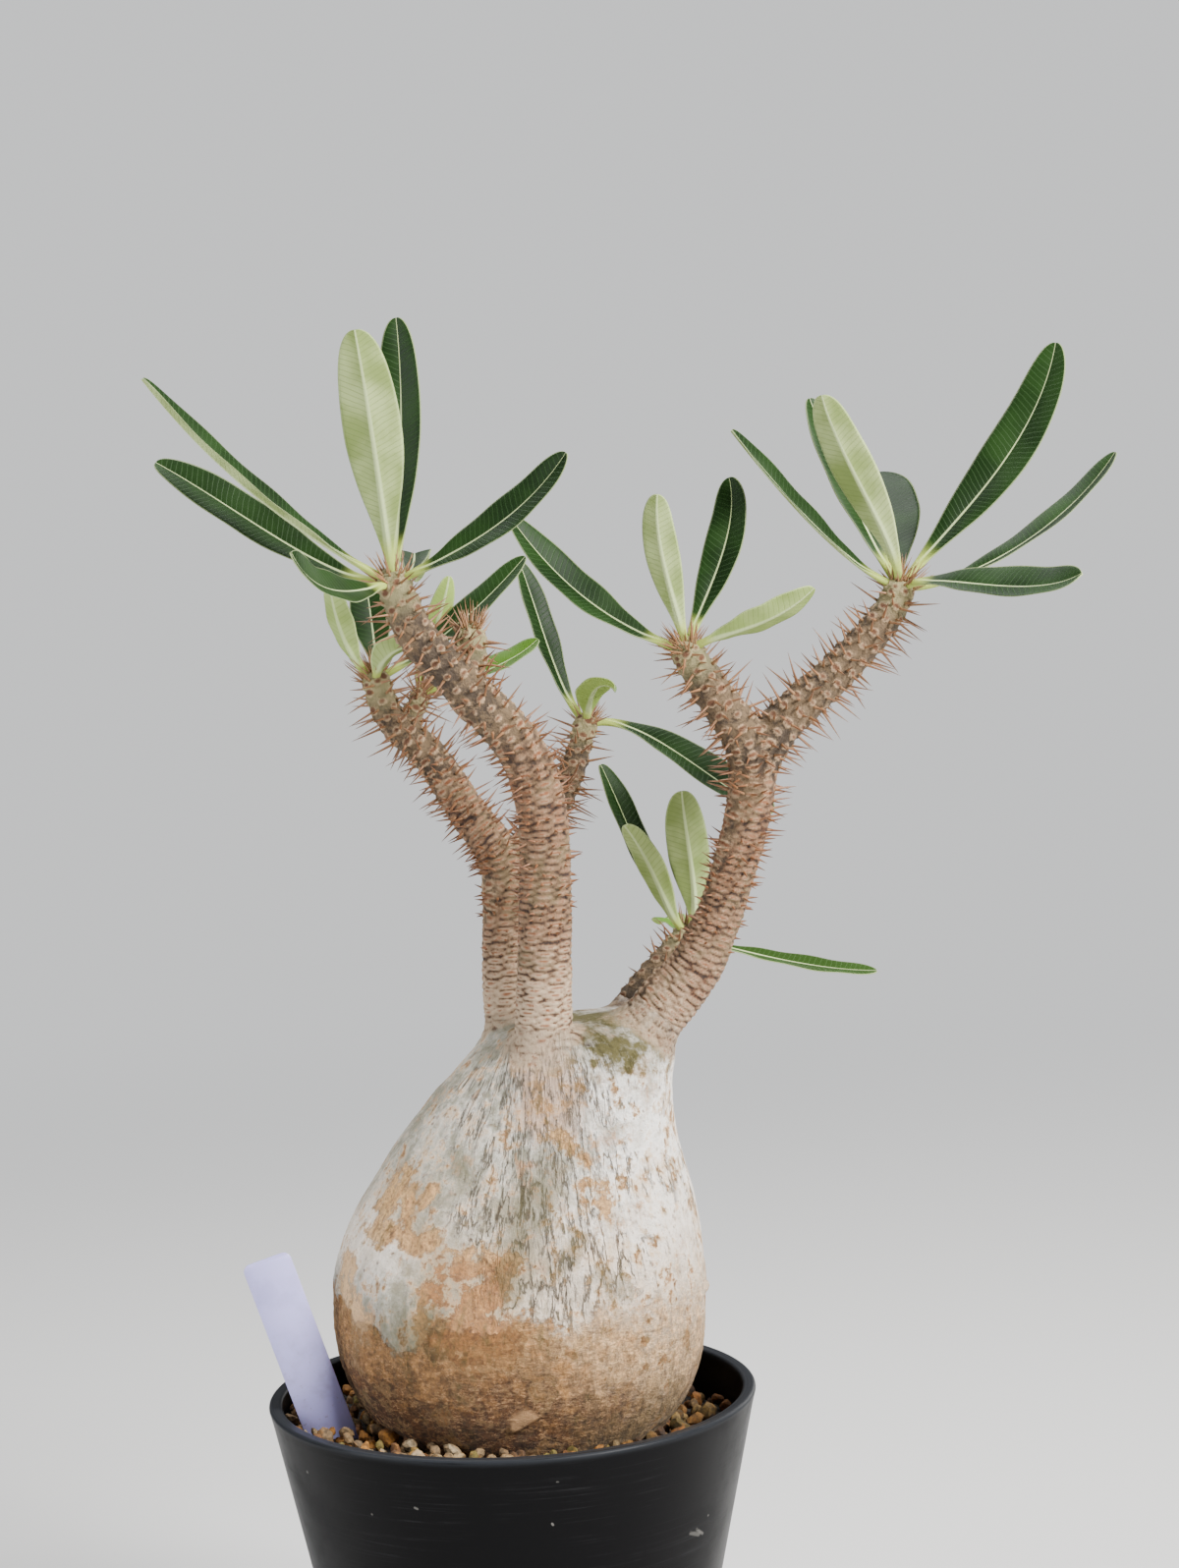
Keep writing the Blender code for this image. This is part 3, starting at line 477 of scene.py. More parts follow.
def add_cutter(build, place):
    """Stand a block that cuts the pot in its place."""
    cutter = bpy.data.objects.new("cutter", built(build, "cutter"))
    cutter.matrix_world = place
    cutters.objects.link(cutter)


for i in range(DRAIN_HOLES):
    angle = math.tau * (i + 0.5) / DRAIN_HOLES
    build = bmesh.new()
    bmesh.ops.create_cone(build, cap_ends=True, segments=28, radius1=DRAIN_RADIUS * MM,
                          radius2=DRAIN_RADIUS * MM, depth=POT_FLOOR * 3 * MM)
    add_cutter(build, Matrix.Translation(Vector((math.cos(angle), math.sin(angle), 0)) * DRAIN_CIRCLE * MM))
for i in range(NOTCHES):
    build = bmesh.new()
    bmesh.ops.create_cube(build, size=MM)
    notch_size = (FOOT_RING_WIDTH * 3, NOTCH_WIDTH, NOTCH_DEPTH * 2)
    bmesh.ops.scale(build, vec=notch_size, verts=build.verts)
    to_side = Matrix.Translation((foot_outer * MM, 0, 0))
    add_cutter(build, Matrix.Rotation(math.tau * i / NOTCHES, 4, "Z") @ to_side)
cut = pot.modifiers.new("Drain holes and notches", "BOOLEAN")
cut.operation = "DIFFERENCE"
cut.operand_type = "COLLECTION"
cut.collection = cutters
pot.data = evaluated_copy(pot)
pot.modifiers.clear()
for used in list(cutters.objects):
    bpy.data.objects.remove(used, do_unlink=True)
bpy.data.collections.remove(cutters)
pot.data.shade_smooth()
pot.data.set_sharp_from_angle(angle=math.radians(42))
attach(pot, "root")
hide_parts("pot")

# Caudex
# The plant's swollen base, which stores its water under a thin corky skin. The skin is silvery and
# finely fissured above, tan and fibrous below, and flakes where the two meet. Each stem grows from
# a collar on its shoulders.
CAUDEX_SECTIONS = [
    (62, -2, 9, -5, 6),
    (75, -9, 16, -12, 13),
    (90, -20, 29, -24, 25),
    (104, -34, 43, -37, 38),
    (117, -46, 54, -46, 47),
    (131, -52, 59, -50, 50),
    (146, -53.5, 60, -51, 51),
    (161, -52.5, 60, -48, 49),
    (176, -47, 58.5, -43, 45),
    (190, -38.5, 55.5, -38, 41),
    (205, -27, 54, -33, 37),
    (218, -15, 54, -30, 34),
    (227, -6.5, 55, -28, 32),
    (232, -1, 51, -23, 28),
    (234.5, 10, 42, -14, 18),
]
CAUDEX_SIDES = 128
CAUDEX_STEP = 1.5
CAUDEX_LUMP_SIZE = 22.0
CAUDEX_LUMP_HEIGHT = 1.6
LUMPS_FULL_AT = 30.0
CAUDEX_VOXEL = 0.95
COLLAR_LENGTH = 17.0
COLLAR_FLARE = 1.6
STEMS = {
    "stem_front_left": [
        [(14, -17, 236, 8.7), (15, -17, 255, 8.2), (16, -17.5, 278, 7.8), (16, -19, 300, 7.4),
         (10, -21, 320, 7.2), (-6, -24, 339, 6.6), (-19, -26, 355, 6.0), (-25, -27, 370, 5.2)],
        [(-6, -23, 335, 5.4), (-3.5, -18, 345, 5.2), (-3, -15, 353, 4.6)],
    ],
    "stem_back_left": [
        [(4, 10, 236, 7.9), (3.5, 11, 250, 7.4), (4, 12.5, 268, 7.1), (3, 14, 283, 6.8),
         (-6, 16, 297, 6.0), (-17, 18, 315, 5.4), (-28, 19, 326, 5.0), (-33, 19, 339, 4.2)],
        [(4, 14, 278, 5.4), (13, 21, 288, 5.0), (21, 30, 296, 4.4), (27, 38, 307, 4.1), (32, 46, 321, 3.7)],
        [(-27, 19, 322, 3.6), (-22, 23, 328, 3.4), (-19.5, 26, 333.5, 3.0)],
    ],
    "stem_right": [
        [(50, -4, 237, 9.2), (60.5, -5, 249, 8.2), (68, -6, 264, 7.2), (73.5, -7, 279, 6.8),
         (77.5, -8, 293, 6.9), (80, -8, 308, 7.2), (77, -10, 320, 6.6), (68, -13, 334, 6.0),
         (61, -16, 346, 4.8)],
        [(79, -8, 306, 6.6), (89, -7, 322, 6.5), (103, -6, 334, 6.1), (116, -4.5, 346, 5.5),
         (124, -3, 355.5, 5.0), (127, -3, 361.5, 4.6)],
    ],
    "stem_low_right": [
        [(43, 25, 233, 6.8), (51, 30, 242, 5.8), (57, 34, 248, 5.3), (61.5, 37, 253, 4.8)],
    ],
}
PATH_STEP = 0.5
LEAF_TURN = math.radians(135.6)
SCAR_COLUMNS = 8
SCAR_PITCH = (2.25, 5.4)
TUBERCLE_HEIGHT = (0.5, 1.1)
SCAR_HALF_WIDTH = (2.1, 1.35)
SCAR_HALF_HEIGHT = (0.42, 1.0)
CUSHION_RADIUS = 2.25
OLD_WOOD = 55.0
TIP_LENGTH = 13.0

# Marks on the caudex: two ends and a reach, each where the photograph shows it
TAN_MARKS = [
    ((-32, -17, 192), (-37, -22, 178), 8), ((-29, -24, 188), (-30, -31, 176), 4),
    ((-21, -30, 189), (-24, -30, 187), 3), ((-28, -33, 176), (-22, -37, 175), 5),
    ((-20, -40, 170), (-22, -43, 160), 6), ((-14, -43, 169), (0, -45, 169), 7),
    ((-4, -46, 164), (-12, -48, 156), 8), ((-50, -14, 163), (-45, -26, 149), 7),
    ((16, -31, 205), (24, -31, 196), 3), ((28, -34, 190), (31, -36, 178), 3),
    ((-20, -46, 150), (-4, -50, 148), 9),
]
GREEN_MARKS = [
    ((-36, -38, 149), (-24, -44, 151), 8), ((5, -40, 184), (1, -47, 162), 5),
    ((22, -41, 176), (17, -44, 168), 4), ((27, -43, 164), (34, -40, 160), 4),
    ((-14, -30, 200), (-10, -34, 192), 4), ((14, -35, 200), (9, -41, 180), 5),
    ((24, 0, 235), (42, -10, 233), 18), ((24, -18, 232), (36, -20, 231), 13),
]
SILVER_MARKS = [((-40, -27, 168), (-33, -39, 150), 13), ((14, -47, 162), (19, -46, 160), 7)]
PINK_MARKS = [((12, -25, 230), (17, -31, 211), 10), ((8, -27, 226), (10, -33, 208), 6)]
HOLLOWS = [
    ((26.1, -23.7, 231.2), (27.4, -23.2, 231.0), 1.3), ((52.2, -15.5, 185.5), (51.9, -17.9, 180.5), 0.9),
    ((14.5, -26.5, 222), (13.5, -28, 217), 0.8), ((17.5, -28.5, 214), (18.5, -30.5, 208), 0.8),
    ((53.5, -27, 146), (54, -26, 143), 0.8), ((-34, -39, 157), (-33, -40, 153), 0.8),
]
NUBS = [
    ((38.5, -37.8, 159.4), (38.5, -37.8, 158.4), 1.9), ((59.5, -8, 152), (59.5, -8, 151), 1.8),
    ((-6.5, -43.5, 172), (-1, -46.5, 168), 1.6),
]
FLAKE = [(-1.3, -49.2, 129.6), (8.2, -48.0, 124.8), (-1.4, -46.4, 119.2)]

caudex_rows = np.array(CAUDEX_SECTIONS, float)
row_above = np.minimum(np.arange(len(caudex_rows)) + 1, len(caudex_rows) - 1)
row_below = np.maximum(np.arange(len(caudex_rows)) - 1, 0)
caudex_slopes = caudex_rows[row_above] - caudex_rows[row_below]
caudex_slopes /= caudex_slopes[:, :1]


def caudex_outline(height):
    """Left, right, front and back of the caudex at a height, read smoothly between its sections."""
    i = int(np.clip(np.searchsorted(caudex_rows[:, 0], height, side="right") - 1, 0, len(caudex_rows) - 2))
    span = caudex_rows[i + 1, 0] - caudex_rows[i, 0]
    t = (height - caudex_rows[i, 0]) / span
    start = (2 * t ** 3 - 3 * t ** 2 + 1) * caudex_rows[i]
    leaving = (t ** 3 - 2 * t ** 2 + t) * caudex_slopes[i] * span
    end = (3 * t ** 2 - 2 * t ** 3) * caudex_rows[i + 1]
    arriving = (t ** 3 - t ** 2) * caudex_slopes[i + 1] * span
    return (start + leaving + end + arriving)[1:]


def caudex_point(height, angle):
    """A point of the lopsided, slightly lumpy oval section at a height."""
    left, right, front, back = caudex_outline(height)
    half_width, half_depth = (right - left) / 2, (back - front) / 2
    flat = Vector((half_width * math.cos(angle), half_depth * math.sin(angle), 0))
    point = Vector(((left + right) / 2, (front + back) / 2, height)) + flat
    lump = noise.noise(point / CAUDEX_LUMP_SIZE) * CAUDEX_LUMP_HEIGHT * min(1.0, half_width / LUMPS_FULL_AT)
    return point + flat.normalized() * lump


def smooth_path(points):
    """Middles, radii and turning frames at even steps along the smooth curve through a branch's points."""
    given = np.array(points, float)
    padded = np.vstack([2 * given[0] - given[1], given, 2 * given[-1] - given[-2]])
    at = np.linspace(0, len(given) - 1 - 1e-9, 600)
    i = at.astype(int)
    t = (at - i)[:, None]
    before, start, end, after = (padded[i + k] for k in range(4))
    fine = 0.5 * (2 * start + (end - before) * t + (2 * before - 5 * start + 4 * end - after) * t ** 2
                  + (3 * start - before - 3 * end + after) * t ** 3)
    far = np.concatenate([[0], np.cumsum(np.linalg.norm(np.diff(fine[:, :3], axis=0), axis=1))])
    wanted = np.linspace(0, far[-1], round(far[-1] / PATH_STEP) + 1)
    middles = np.stack([np.interp(wanted, far, fine[:, k]) for k in range(3)], axis=1)
    ahead = np.gradient(middles, axis=0)
    ahead /= np.linalg.norm(ahead, axis=1)[:, None]
    sides = np.empty_like(middles)
    side = np.array([1.0, 0.0, 0.0])
    for row, tangent in enumerate(ahead):
        side = side - tangent * side.dot(tangent)
        side /= np.linalg.norm(side)
        sides[row] = side
    return {"middles": middles, "radii": np.interp(wanted, far, fine[:, 3]), "ahead": ahead, "sides": sides,
            "ups": np.cross(ahead, sides), "far": wanted}


def soft(values, low, high):
    """0 under low, 1 over high and a smooth rise between them."""
    t = np.clip((values - low) / (high - low), 0, 1)
    return t * t * (3 - 2 * t)


def lattice_of(path, old_wood):
    """Where the leaf scars stand along a branch: close on old wood, wider apart above."""
    age = soft(path["far"], old_wood, path["far"][-1] - 4)
    rise = np.interp(age, (0, 1), SCAR_PITCH) / SCAR_COLUMNS
    index = np.concatenate([[0], np.cumsum(np.diff(path["far"]) / rise[1:])])
    return {"index": index, "rise": rise, "age": age}


def by_chance(numbers, seed):
    """An even spread from 0 to 1 that is always the same for a whole number."""
    return (np.sin(numbers * 12.9898 + seed * 78.233) * 43758.5453) % 1


def on_path(places, path):
    """Distance along a path, angle round it and distance from it for each place."""
    nearest = np.empty(len(places), int)
    for start in range(0, len(places), 4000):
        gaps = places[start:start + 4000, None, :] - path["middles"][None, ::2]
        nearest[start:start + 4000] = 2 * np.argmin((gaps ** 2).sum(2), axis=1)
    out = places - path["middles"][nearest]
    lead = (out * path["ahead"][nearest]).sum(1)
    aside = (out * path["sides"][nearest]).sum(1)
    upward = (out * path["ups"][nearest]).sum(1)
    return path["far"][nearest] + lead, np.arctan2(upward, aside), np.hypot(aside, upward)


def tubercle_relief(along, angle, reach, path, lattice, phase):
    """How high each place stands, 0 in a groove and 1 on a crown, how deep in a leaf scar, and its age."""
    first_rise = lattice["rise"][0]
    index = np.interp(along, path["far"], lattice["index"]) + np.minimum(along, 0) / first_rise
    age = np.interp(along, path["far"], lattice["age"])
    half_pitch = np.interp(age, (0, 1), SCAR_PITCH) / 2
    half_column = math.pi * np.maximum(reach, 2) / SCAR_COLUMNS
    scar_tall = np.interp(age, (0, 1), SCAR_HALF_HEIGHT)
    scar_wide = np.interp(age, (0, 1), SCAR_HALF_WIDTH)
    bar, cushion, scar = np.full((3, len(along)), 9.0)
    for step in range(-10, 11):
        i = np.round(index) + step
        middle = np.interp(i, lattice["index"], path["far"]) + np.minimum(i, 0) * first_rise
        middle = middle + (by_chance(i, 1) - 0.5) * 0.4 * half_pitch
        turn = angle - (phase + LEAF_TURN * i)
        aside = (turn - math.tau * np.round(turn / math.tau)) * reach + (by_chance(i, 2) - 0.5) * 0.9
        lead = along - middle
        worn = 0.25 * by_chance(i, 3)
        bar = np.minimum(bar, np.hypot(lead / half_pitch, aside / half_column * 0.72) + worn)
        cushion = np.minimum(cushion, np.hypot(lead * 1.15, aside) / CUSHION_RADIUS + worn)
        scar = np.minimum(scar,
                          np.hypot((lead - 0.1 * half_pitch) / scar_tall, aside / scar_wide) + worn * 2)
    bar = np.clip(1.1 - bar ** 2, 0, 1) ** 0.6
    cushion = 1 - soft(cushion, 0.45, 1.15)
    young = soft(age, 0.0, 0.45)
    return bar * (1 - young) + (0.25 + 0.75 * cushion) * young, 1 - soft(scar, 0.7, 1.3), age


def skinned(rings):
    """Points and faces of a closed skin over rings of points, flat at both ends."""
    sides = len(rings[0])
    points = [tuple(p) for ring in rings for p in ring]
    faces = [tuple(reversed(range(sides))), tuple(range(len(points) - sides, len(points)))]
    for start in range(0, len(points) - sides, sides):
        for k in range(sides):
            after = (k + 1) % sides
            faces.append((start + k, start + after, start + sides + after, start + sides + k))
    return points, faces


def ring_round(path, row, radius, lead=0.0, sides=40):
    """A ring round a branch at one of its rows, moved a little along it."""
    angles = np.arange(sides) * math.tau / sides
    middle = path["middles"][row] + path["ahead"][row] * lead
    across = np.cos(angles)[:, None] * path["sides"][row]
    return middle + radius * (across + np.sin(angles)[:, None] * path["ups"][row])


def fused(name, solids, voxel):
    """One closed mesh of small even faces over solids that overlap."""
    points, faces = [], []
    for more_points, more_faces in solids:
        start = len(points)
        points += more_points
        faces += [tuple(start + k for k in face) for face in more_faces]
    block = in_scene(name, mesh_in_mm(name, points, faces))
    remesh = block.modifiers.new("Fuse", "REMESH")
    remesh.mode = "VOXEL"
    remesh.voxel_size = voxel * MM
    made = evaluated_copy(block)
    bpy.data.objects.remove(block, do_unlink=True)
    return made


def mesh_places(mesh):
    """The mesh's points in millimetres, and its edges as pairs of points."""
    places = np.empty(len(mesh.vertices) * 3, np.float32)
    mesh.vertices.foreach_get("co", places)
    pairs = np.empty(len(mesh.edges) * 2, np.int32)
    mesh.edges.foreach_get("vertices", pairs)
    return places.reshape(-1, 3).astype(float) / MM, pairs.reshape(-1, 2)


def move_points(mesh, places):
    mesh.vertices.foreach_set("co", (places * MM).astype(np.float32).ravel())
    mesh.update()


def point_normals(mesh):
    normals = np.empty(len(mesh.vertices) * 3, np.float32)
    mesh.vertex_normals.foreach_get("vector", normals)
    return normals.reshape(-1, 3).astype(float)


def eased(places, pairs, share, rounds):
    """Each point drawn towards the middle of its neighbours by its share, round after round."""
    count = np.bincount(pairs.ravel(), minlength=len(places))
    for _ in range(rounds):
        drawn = np.empty_like(places)
        for k in range(3):
            total = np.bincount(pairs[:, 0], places[pairs[:, 1], k], len(places))
            total += np.bincount(pairs[:, 1], places[pairs[:, 0], k], len(places))
            drawn[:, k] = total / count
        places = places + share[:, None] * (drawn - places)
    return places


def lumps(places, size, seed, octaves=3):
    """Smooth noise of about -1 to 1, with lumps of a given size in millimetres."""
    shift = Vector((seed * 13.1, seed * 7.7, seed * 3.3))
    scaled = (places / size).tolist()
    return np.array([noise.fractal(Vector(p) + shift, 0.9, 2.1, octaves) for p in scaled])


def near_marks(places, marks, spread=1.0):
    """1 at the middle of the nearest mark, falling to 0 at its reach times the spread."""
    most = np.zeros(len(places))
    for start, end, reach in marks:
        start, way = np.array(start, float), np.subtract(end, start, dtype=float)
        share = np.clip(((places - start) @ way) / (way @ way), 0, 1)
        gap = np.linalg.norm(places - start - share[:, None] * way, axis=1)
        most = np.maximum(most, np.clip(1 - gap / (reach * spread), 0, 1))
    return most


def set_values(mesh, **values):
    """Store named values on a mesh's points for its material to read."""
    for title, numbers in values.items():
        wide = np.ndim(numbers) == 2
        attribute = mesh.attributes.new(title, "FLOAT_VECTOR" if wide else "FLOAT", "POINT")
        attribute.data.foreach_set("vector" if wide else "value", np.asarray(numbers, np.float32).ravel())


paths = {name: [smooth_path(branch) for branch in branches] for name, branches in STEMS.items()}
lattices = {name: [lattice_of(path, OLD_WOOD if number == 0 and name != "stem_low_right" else -OLD_WOOD)
                   for number, path in enumerate(branches)] for name, branches in paths.items()}
phases = {name: 1.3 * number for number, name in enumerate(STEMS)}

ring_angles = [math.tau * k / CAUDEX_SIDES for k in range(CAUDEX_SIDES)]
ring_count = round((CAUDEX_SECTIONS[-1][0] - CAUDEX_SECTIONS[0][0]) / CAUDEX_STEP)
ring_heights = np.linspace(CAUDEX_SECTIONS[0][0], CAUDEX_SECTIONS[-1][0], ring_count)
solids = [skinned([[caudex_point(height, angle) for angle in ring_angles] for height in ring_heights])]
for branches in paths.values():
    collar = []
    for share in np.linspace(1, 0, 14):
        flare = 1 + (COLLAR_FLARE - 1) * share ** 1.6
        collar.append(ring_round(branches[0], 0, branches[0]["radii"][0] * flare,
                                 -0.2 - COLLAR_LENGTH * share))
    solids.append(skinned(collar))
caudex_mesh = fused("caudex skin", solids, CAUDEX_VOXEL)

places, pairs = mesh_places(caudex_mesh)
collar_top, bark, shoulder, raised, scarred = np.zeros((5, len(places)))
for name, branches in paths.items():
    path = branches[0]
    along, angle, reach = on_path(places, {key: values[:3] for key, values in path.items()})
    radius = path["radii"][0]
    share = soft(along, -24, -3) * (1 - soft(reach, 1.2 * radius, 1.8 * radius))
    shoulder = np.maximum(shoulder, soft(along, -34, -18) * (1 - soft(reach, 2.2 * radius, 3.2 * radius)))
    raise_here, scar_here, _ = tubercle_relief(along, angle, reach, path, lattices[name][0], phases[name])
    raised = np.where(share > bark, 0.8 + (raise_here - 0.8) * soft(along, -16, -3), raised)
    scarred = np.where(share > bark, scar_here, scarred)
    bark = np.maximum(bark, share)
    collar_top = np.maximum(collar_top, soft(along, -4, -0.8) * (reach < 1.3 * radius))
places = eased(places, pairs, 0.5 * (1 - collar_top), 60)
places = eased(places, pairs, 0.5 * (1 - collar_top) * shoulder, 170)
move_points(caudex_mesh, places)

height = places[:, 2]
turn = np.arctan2(places[:, 0] - 14, -(places[:, 1] + 2))
flow = np.stack([45 * np.sin(turn), 45 * np.cos(turn), height], axis=1) * MM
loose = lumps(places, np.array([9.0, 9.0, 12.0]), 1, 4)
border = 153 + 4.5 * lumps(places, np.array([14.0, 14.0, 60.0]), 2) + 4 * loose
right_side = soft(places[:, 0], 8, 46)
silver = np.clip(soft((height - border) / (1 + 1.6 * right_side), -9, 9) + near_marks(places, SILVER_MARKS),
                 0, 1)
tan = near_marks(places, TAN_MARKS, 1.35)
green = near_marks(places, GREEN_MARKS, 1.5)
pink = near_marks(places, PINK_MARKS, 1.5)
# The hollows are sunk into the skin and painted near-black in its material: painted shade.
hollow = np.clip(near_marks(places, HOLLOWS) * 1.8, 0, 1)
middle_band = np.exp(-((places[:, 0] - 12) / 24) ** 2) * soft(-places[:, 1], 5, 22)
fissured = silver * np.clip(0.12 + 0.9 * middle_band + 0.35 * lumps(places, 20.0, 5), 0, 1)

plates = soft(lumps(places, np.array([7.0, 7.0, 10.0]), 8, 2), 0.08, 0.16)
peeling = np.clip(tan + 0.8 * np.exp(-((height - border) / 7) ** 2), 0, 1)
relief = 0.55 * lumps(places, 30.0, 3, 2) + 0.2 * lumps(places, 9.0, 4, 3)
relief += 0.4 * peeling * (plates - 0.4) - 1.6 * hollow
relief += silver * 0.28 * lumps(np.stack([flow[:, 0], flow[:, 1], flow[:, 2] / 6], axis=1) / MM, 2.6, 6, 2)
relief += (1 - silver) * 0.22 * lumps(places, np.array([3.5, 3.5, 1.8]), 7, 3)
relief += 1.5 * near_marks(places, NUBS)
relief = relief * (1 - bark) + bark * (TUBERCLE_HEIGHT[0] * (raised - 0.55) - 0.15 * scarred)
flake_start, flake_side, flake_foot = (np.array(corner) for corner in FLAKE)
flake_across = flake_side - flake_start
flake_down = flake_foot - flake_start
flake_share = np.linalg.lstsq(np.stack([flake_across, flake_down], axis=1), (places - flake_start).T,
                              rcond=None)[0]
on_flake = np.minimum(np.minimum(flake_share[0], flake_share[1]), 1 - flake_share.sum(0))
on_flake = soft(on_flake, -0.04, 0.06) * (places[:, 1] < -30)
down_flake = flake_share.sum(0)
relief += on_flake * np.clip(2.4 * down_flake - 1.0, -0.3, 1.4)
# The flake's upper dimple joins the hollows: painted near-black, partly the inner layer's brown, partly
# painted shade.
hollow = np.maximum(hollow, 0.45 * on_flake * (1 - soft(down_flake, 0.25, 0.5)))
places += point_normals(caudex_mesh) * relief[:, None]
move_points(caudex_mesh, places)
set_values(caudex_mesh, flow=flow, silver=silver, tan=tan, green=green, pink=pink, hollow=hollow,
           fissured=fissured, bark=bark, raised=raised, scarred=scarred,
           flake=on_flake * soft(down_flake, 0.4, 0.6))
caudex_mesh.shade_smooth()

BARK_GROOVE = (0.022, 0.010, 0.005)
BARK_BROWN = (0.085, 0.042, 0.020)
BARK_BEIGE = (0.205, 0.118, 0.061)
BARK_PALE = (0.47, 0.335, 0.215)
BARK_OLIVE = (0.115, 0.087, 0.037)
YOUNG_SKIN = (0.138, 0.090, 0.046)
YOUNG_SHADE = (0.052, 0.034, 0.019)
YOUNG_RIM = (0.47, 0.32, 0.185)
BARK_FOOT = (0.50, 0.385, 0.262)
BARK_RUST = (0.20, 0.064, 0.020)
BARK_SCAR = (0.105, 0.040, 0.015)
BARK_TIP = (0.36, 0.33, 0.155)
SILVER_WHITE = (0.92, 0.90, 0.86)
SILVER_GREEN = (0.24, 0.225, 0.160)
SILVER_WARM = (0.58, 0.425, 0.28)
FISSURE = (0.050, 0.034, 0.014)
MOSS = (0.068, 0.057, 0.009)
PEELED_TAN = (0.30, 0.120, 0.028)
PEELED_PALE = (0.58, 0.345, 0.136)
PINK_BEIGE = (0.40, 0.235, 0.145)
ORANGE_FLECK = (0.44, 0.19, 0.050)
FIBRE_TAN = (0.35, 0.172, 0.055)
FIBRE_GREY = (0.65, 0.43, 0.235)
FIBRE_BROWN = (0.075, 0.024, 0.005)
FIBRE_DARK = (0.020, 0.006, 0.0015)
FIBRE_PALE = (0.51, 0.295, 0.135)


def read_value(where, title, kind="Fac"):
    """A value stored on the mesh's points, read by a material."""
    return add(where.id_data, "ShaderNodeAttribute", attribute_name=title).outputs[kind]


def swayed(value, *sways):
    """A value moved up and down by noises, each with its strength."""
    for sway, strength in sways:
        value = plus(value, times(minus(sway, 0.5), strength))
    return value


def shaded(colour, mask, dark, bright):
    """A colour made darker where a mask is 0 and brighter where it is 1."""
    return blended(1.0, colour, blended(mask, (dark,) * 3, (bright,) * 3), "MULTIPLY")


def squeezed(vector, along):
    """Coordinates that draw a pattern out along the Z axis."""
    return fed("ShaderNodeMapping", {"Vector": vector, "Scale": (1.0, 1.0, along)}).outputs[0]


def mixed(share, first, second):
    """Two values mixed by a share."""
    return fed("ShaderNodeMix", {0: share, 2: first, 3: second}).outputs[0]


def thin_lines(noise_value, width):
    """1 along the winding lines where a noise is just 0.5."""
    off = calc("ABSOLUTE", minus(noise_value, 0.5))
    return inverse(between(off, width * 0.3, width))


stem_bark, given, result = shader_group(
    "stem bark", [("Vector", "Vector", None), ("Raised", "Float", 0.5), ("Scarred", "Float", 0.0),
                  ("Age", "Float", 0.0), ("Tip", "Float", 0.0)],
    [("Color", "Color"), ("Height", "Float")])
grain = mottle(given["Vector"], 1100.0, 5.0, 0.7)
blot = mottle(given["Vector"], 380.0, 7.0, 0.68)
cloud = mottle(given["Vector"], 75.0, 4.0)
lines = times(thin_lines(mottle(given["Vector"], 420.0, 3.0), 0.035), between(given["Age"], 0.0, 0.5))
x, _, z = split(given["Vector"])
foot = times(between(swayed(z, (cloud, 0.04)), 0.272, 0.228), between(x, 0.088, 0.02))
rise = swayed(times(given["Raised"], 0.95), (blot, 1.5), (grain, 0.9), (cloud, 0.8))
rise = plus(rise, times(foot, 0.34))
# The bark is painted darkest where it sinks between the crowns: partly the bark's own colour, partly
# painted shade in the grooves.
colour = layered(BARK_GROOVE, (between(rise, -0.1, 0.35), 1.0, BARK_BROWN),
                 (between(rise, 0.15, 0.7), 1.0, BARK_BEIGE), (between(rise, 0.65, 1.2), 0.95, BARK_PALE),
                 (between(swayed(cloud, (blot, 0.5)), 0.5, 0.66), 0.55, BARK_OLIVE),
                 (between(swayed(grain, (cloud, -0.8)), 0.56, 0.68), 0.3, BARK_RUST),
                 (times(foot, between(rise, 0.2, 0.9)), 0.8, BARK_FOOT))
young_tone = swayed(blot, (cloud, 1.4), (grain, 0.8))
rim = between(swayed(given["Raised"], (blot, 1.7), (grain, 0.6)), 0.45, 0.85)
young = layered(YOUNG_SHADE, (between(young_tone, 0.36, 0.6), 1.0, YOUNG_SKIN), (rim, 0.7, YOUNG_RIM),
                (lines, 0.35, BARK_GROOVE), (given["Tip"], 0.6, BARK_TIP))
colour = blended(between(given["Age"], 0.1, 0.5), colour, young)
scar_colour = blended(between(given["Age"], 0.1, 0.7), BARK_RUST, BARK_SCAR)
scar_needs = minus(0.38, times(given["Age"], 0.22))
scar_here = times(given["Scarred"], between(blot, scar_needs, plus(scar_needs, 0.15)))
stem_bark.links.new(layered(colour, (scar_here, 1.0, scar_colour)), result["Color"])
fine = swayed(times(given["Raised"], 0.6), (grain, 1.5), (blot, 1.7))
stem_bark.links.new(minus(fine, times(lines, 0.3)), result["Height"])


def bark_fed_with(where, *titles):
    """What the stem bark puts out in a material, from values stored under these names."""
    stored = {title.capitalize(): read_value(where, title) for title in titles}
    return fed("ShaderNodeGroup", {"Vector": where, **stored}, node_tree=stem_bark).outputs


caudex_material, shader, where = new_material("corky skin", 0.78)
flowing = read_value(where, "flow", "Vector")
x, _, z = split(where)
cloud = mottle(where, 32.0, 3.0)
patchy = mottle(where, 110.0, 9.0, 0.66)
blot = mottle(where, 240.0, 7.0, 0.68)
fleck = mottle(where, 520.0, 4.0, 0.6)
grain = mottle(where, 950.0, 5.0, 0.7)
streak = mottle(squeezed(flowing, 0.3), 330.0, 8.0, 0.7)
crack_noise = mottle(squeezed(flowing, 0.22), 400.0, 5.0, 0.55)
breaks = mottle(squeezed(flowing, 0.35), 400.0, 5.0, 0.6)
gash_noise = mottle(squeezed(flowing, 0.3), 330.0, 5.0, 0.55)
long_noise = mottle(squeezed(flowing, 0.26), 210.0, 6.0, 0.6)
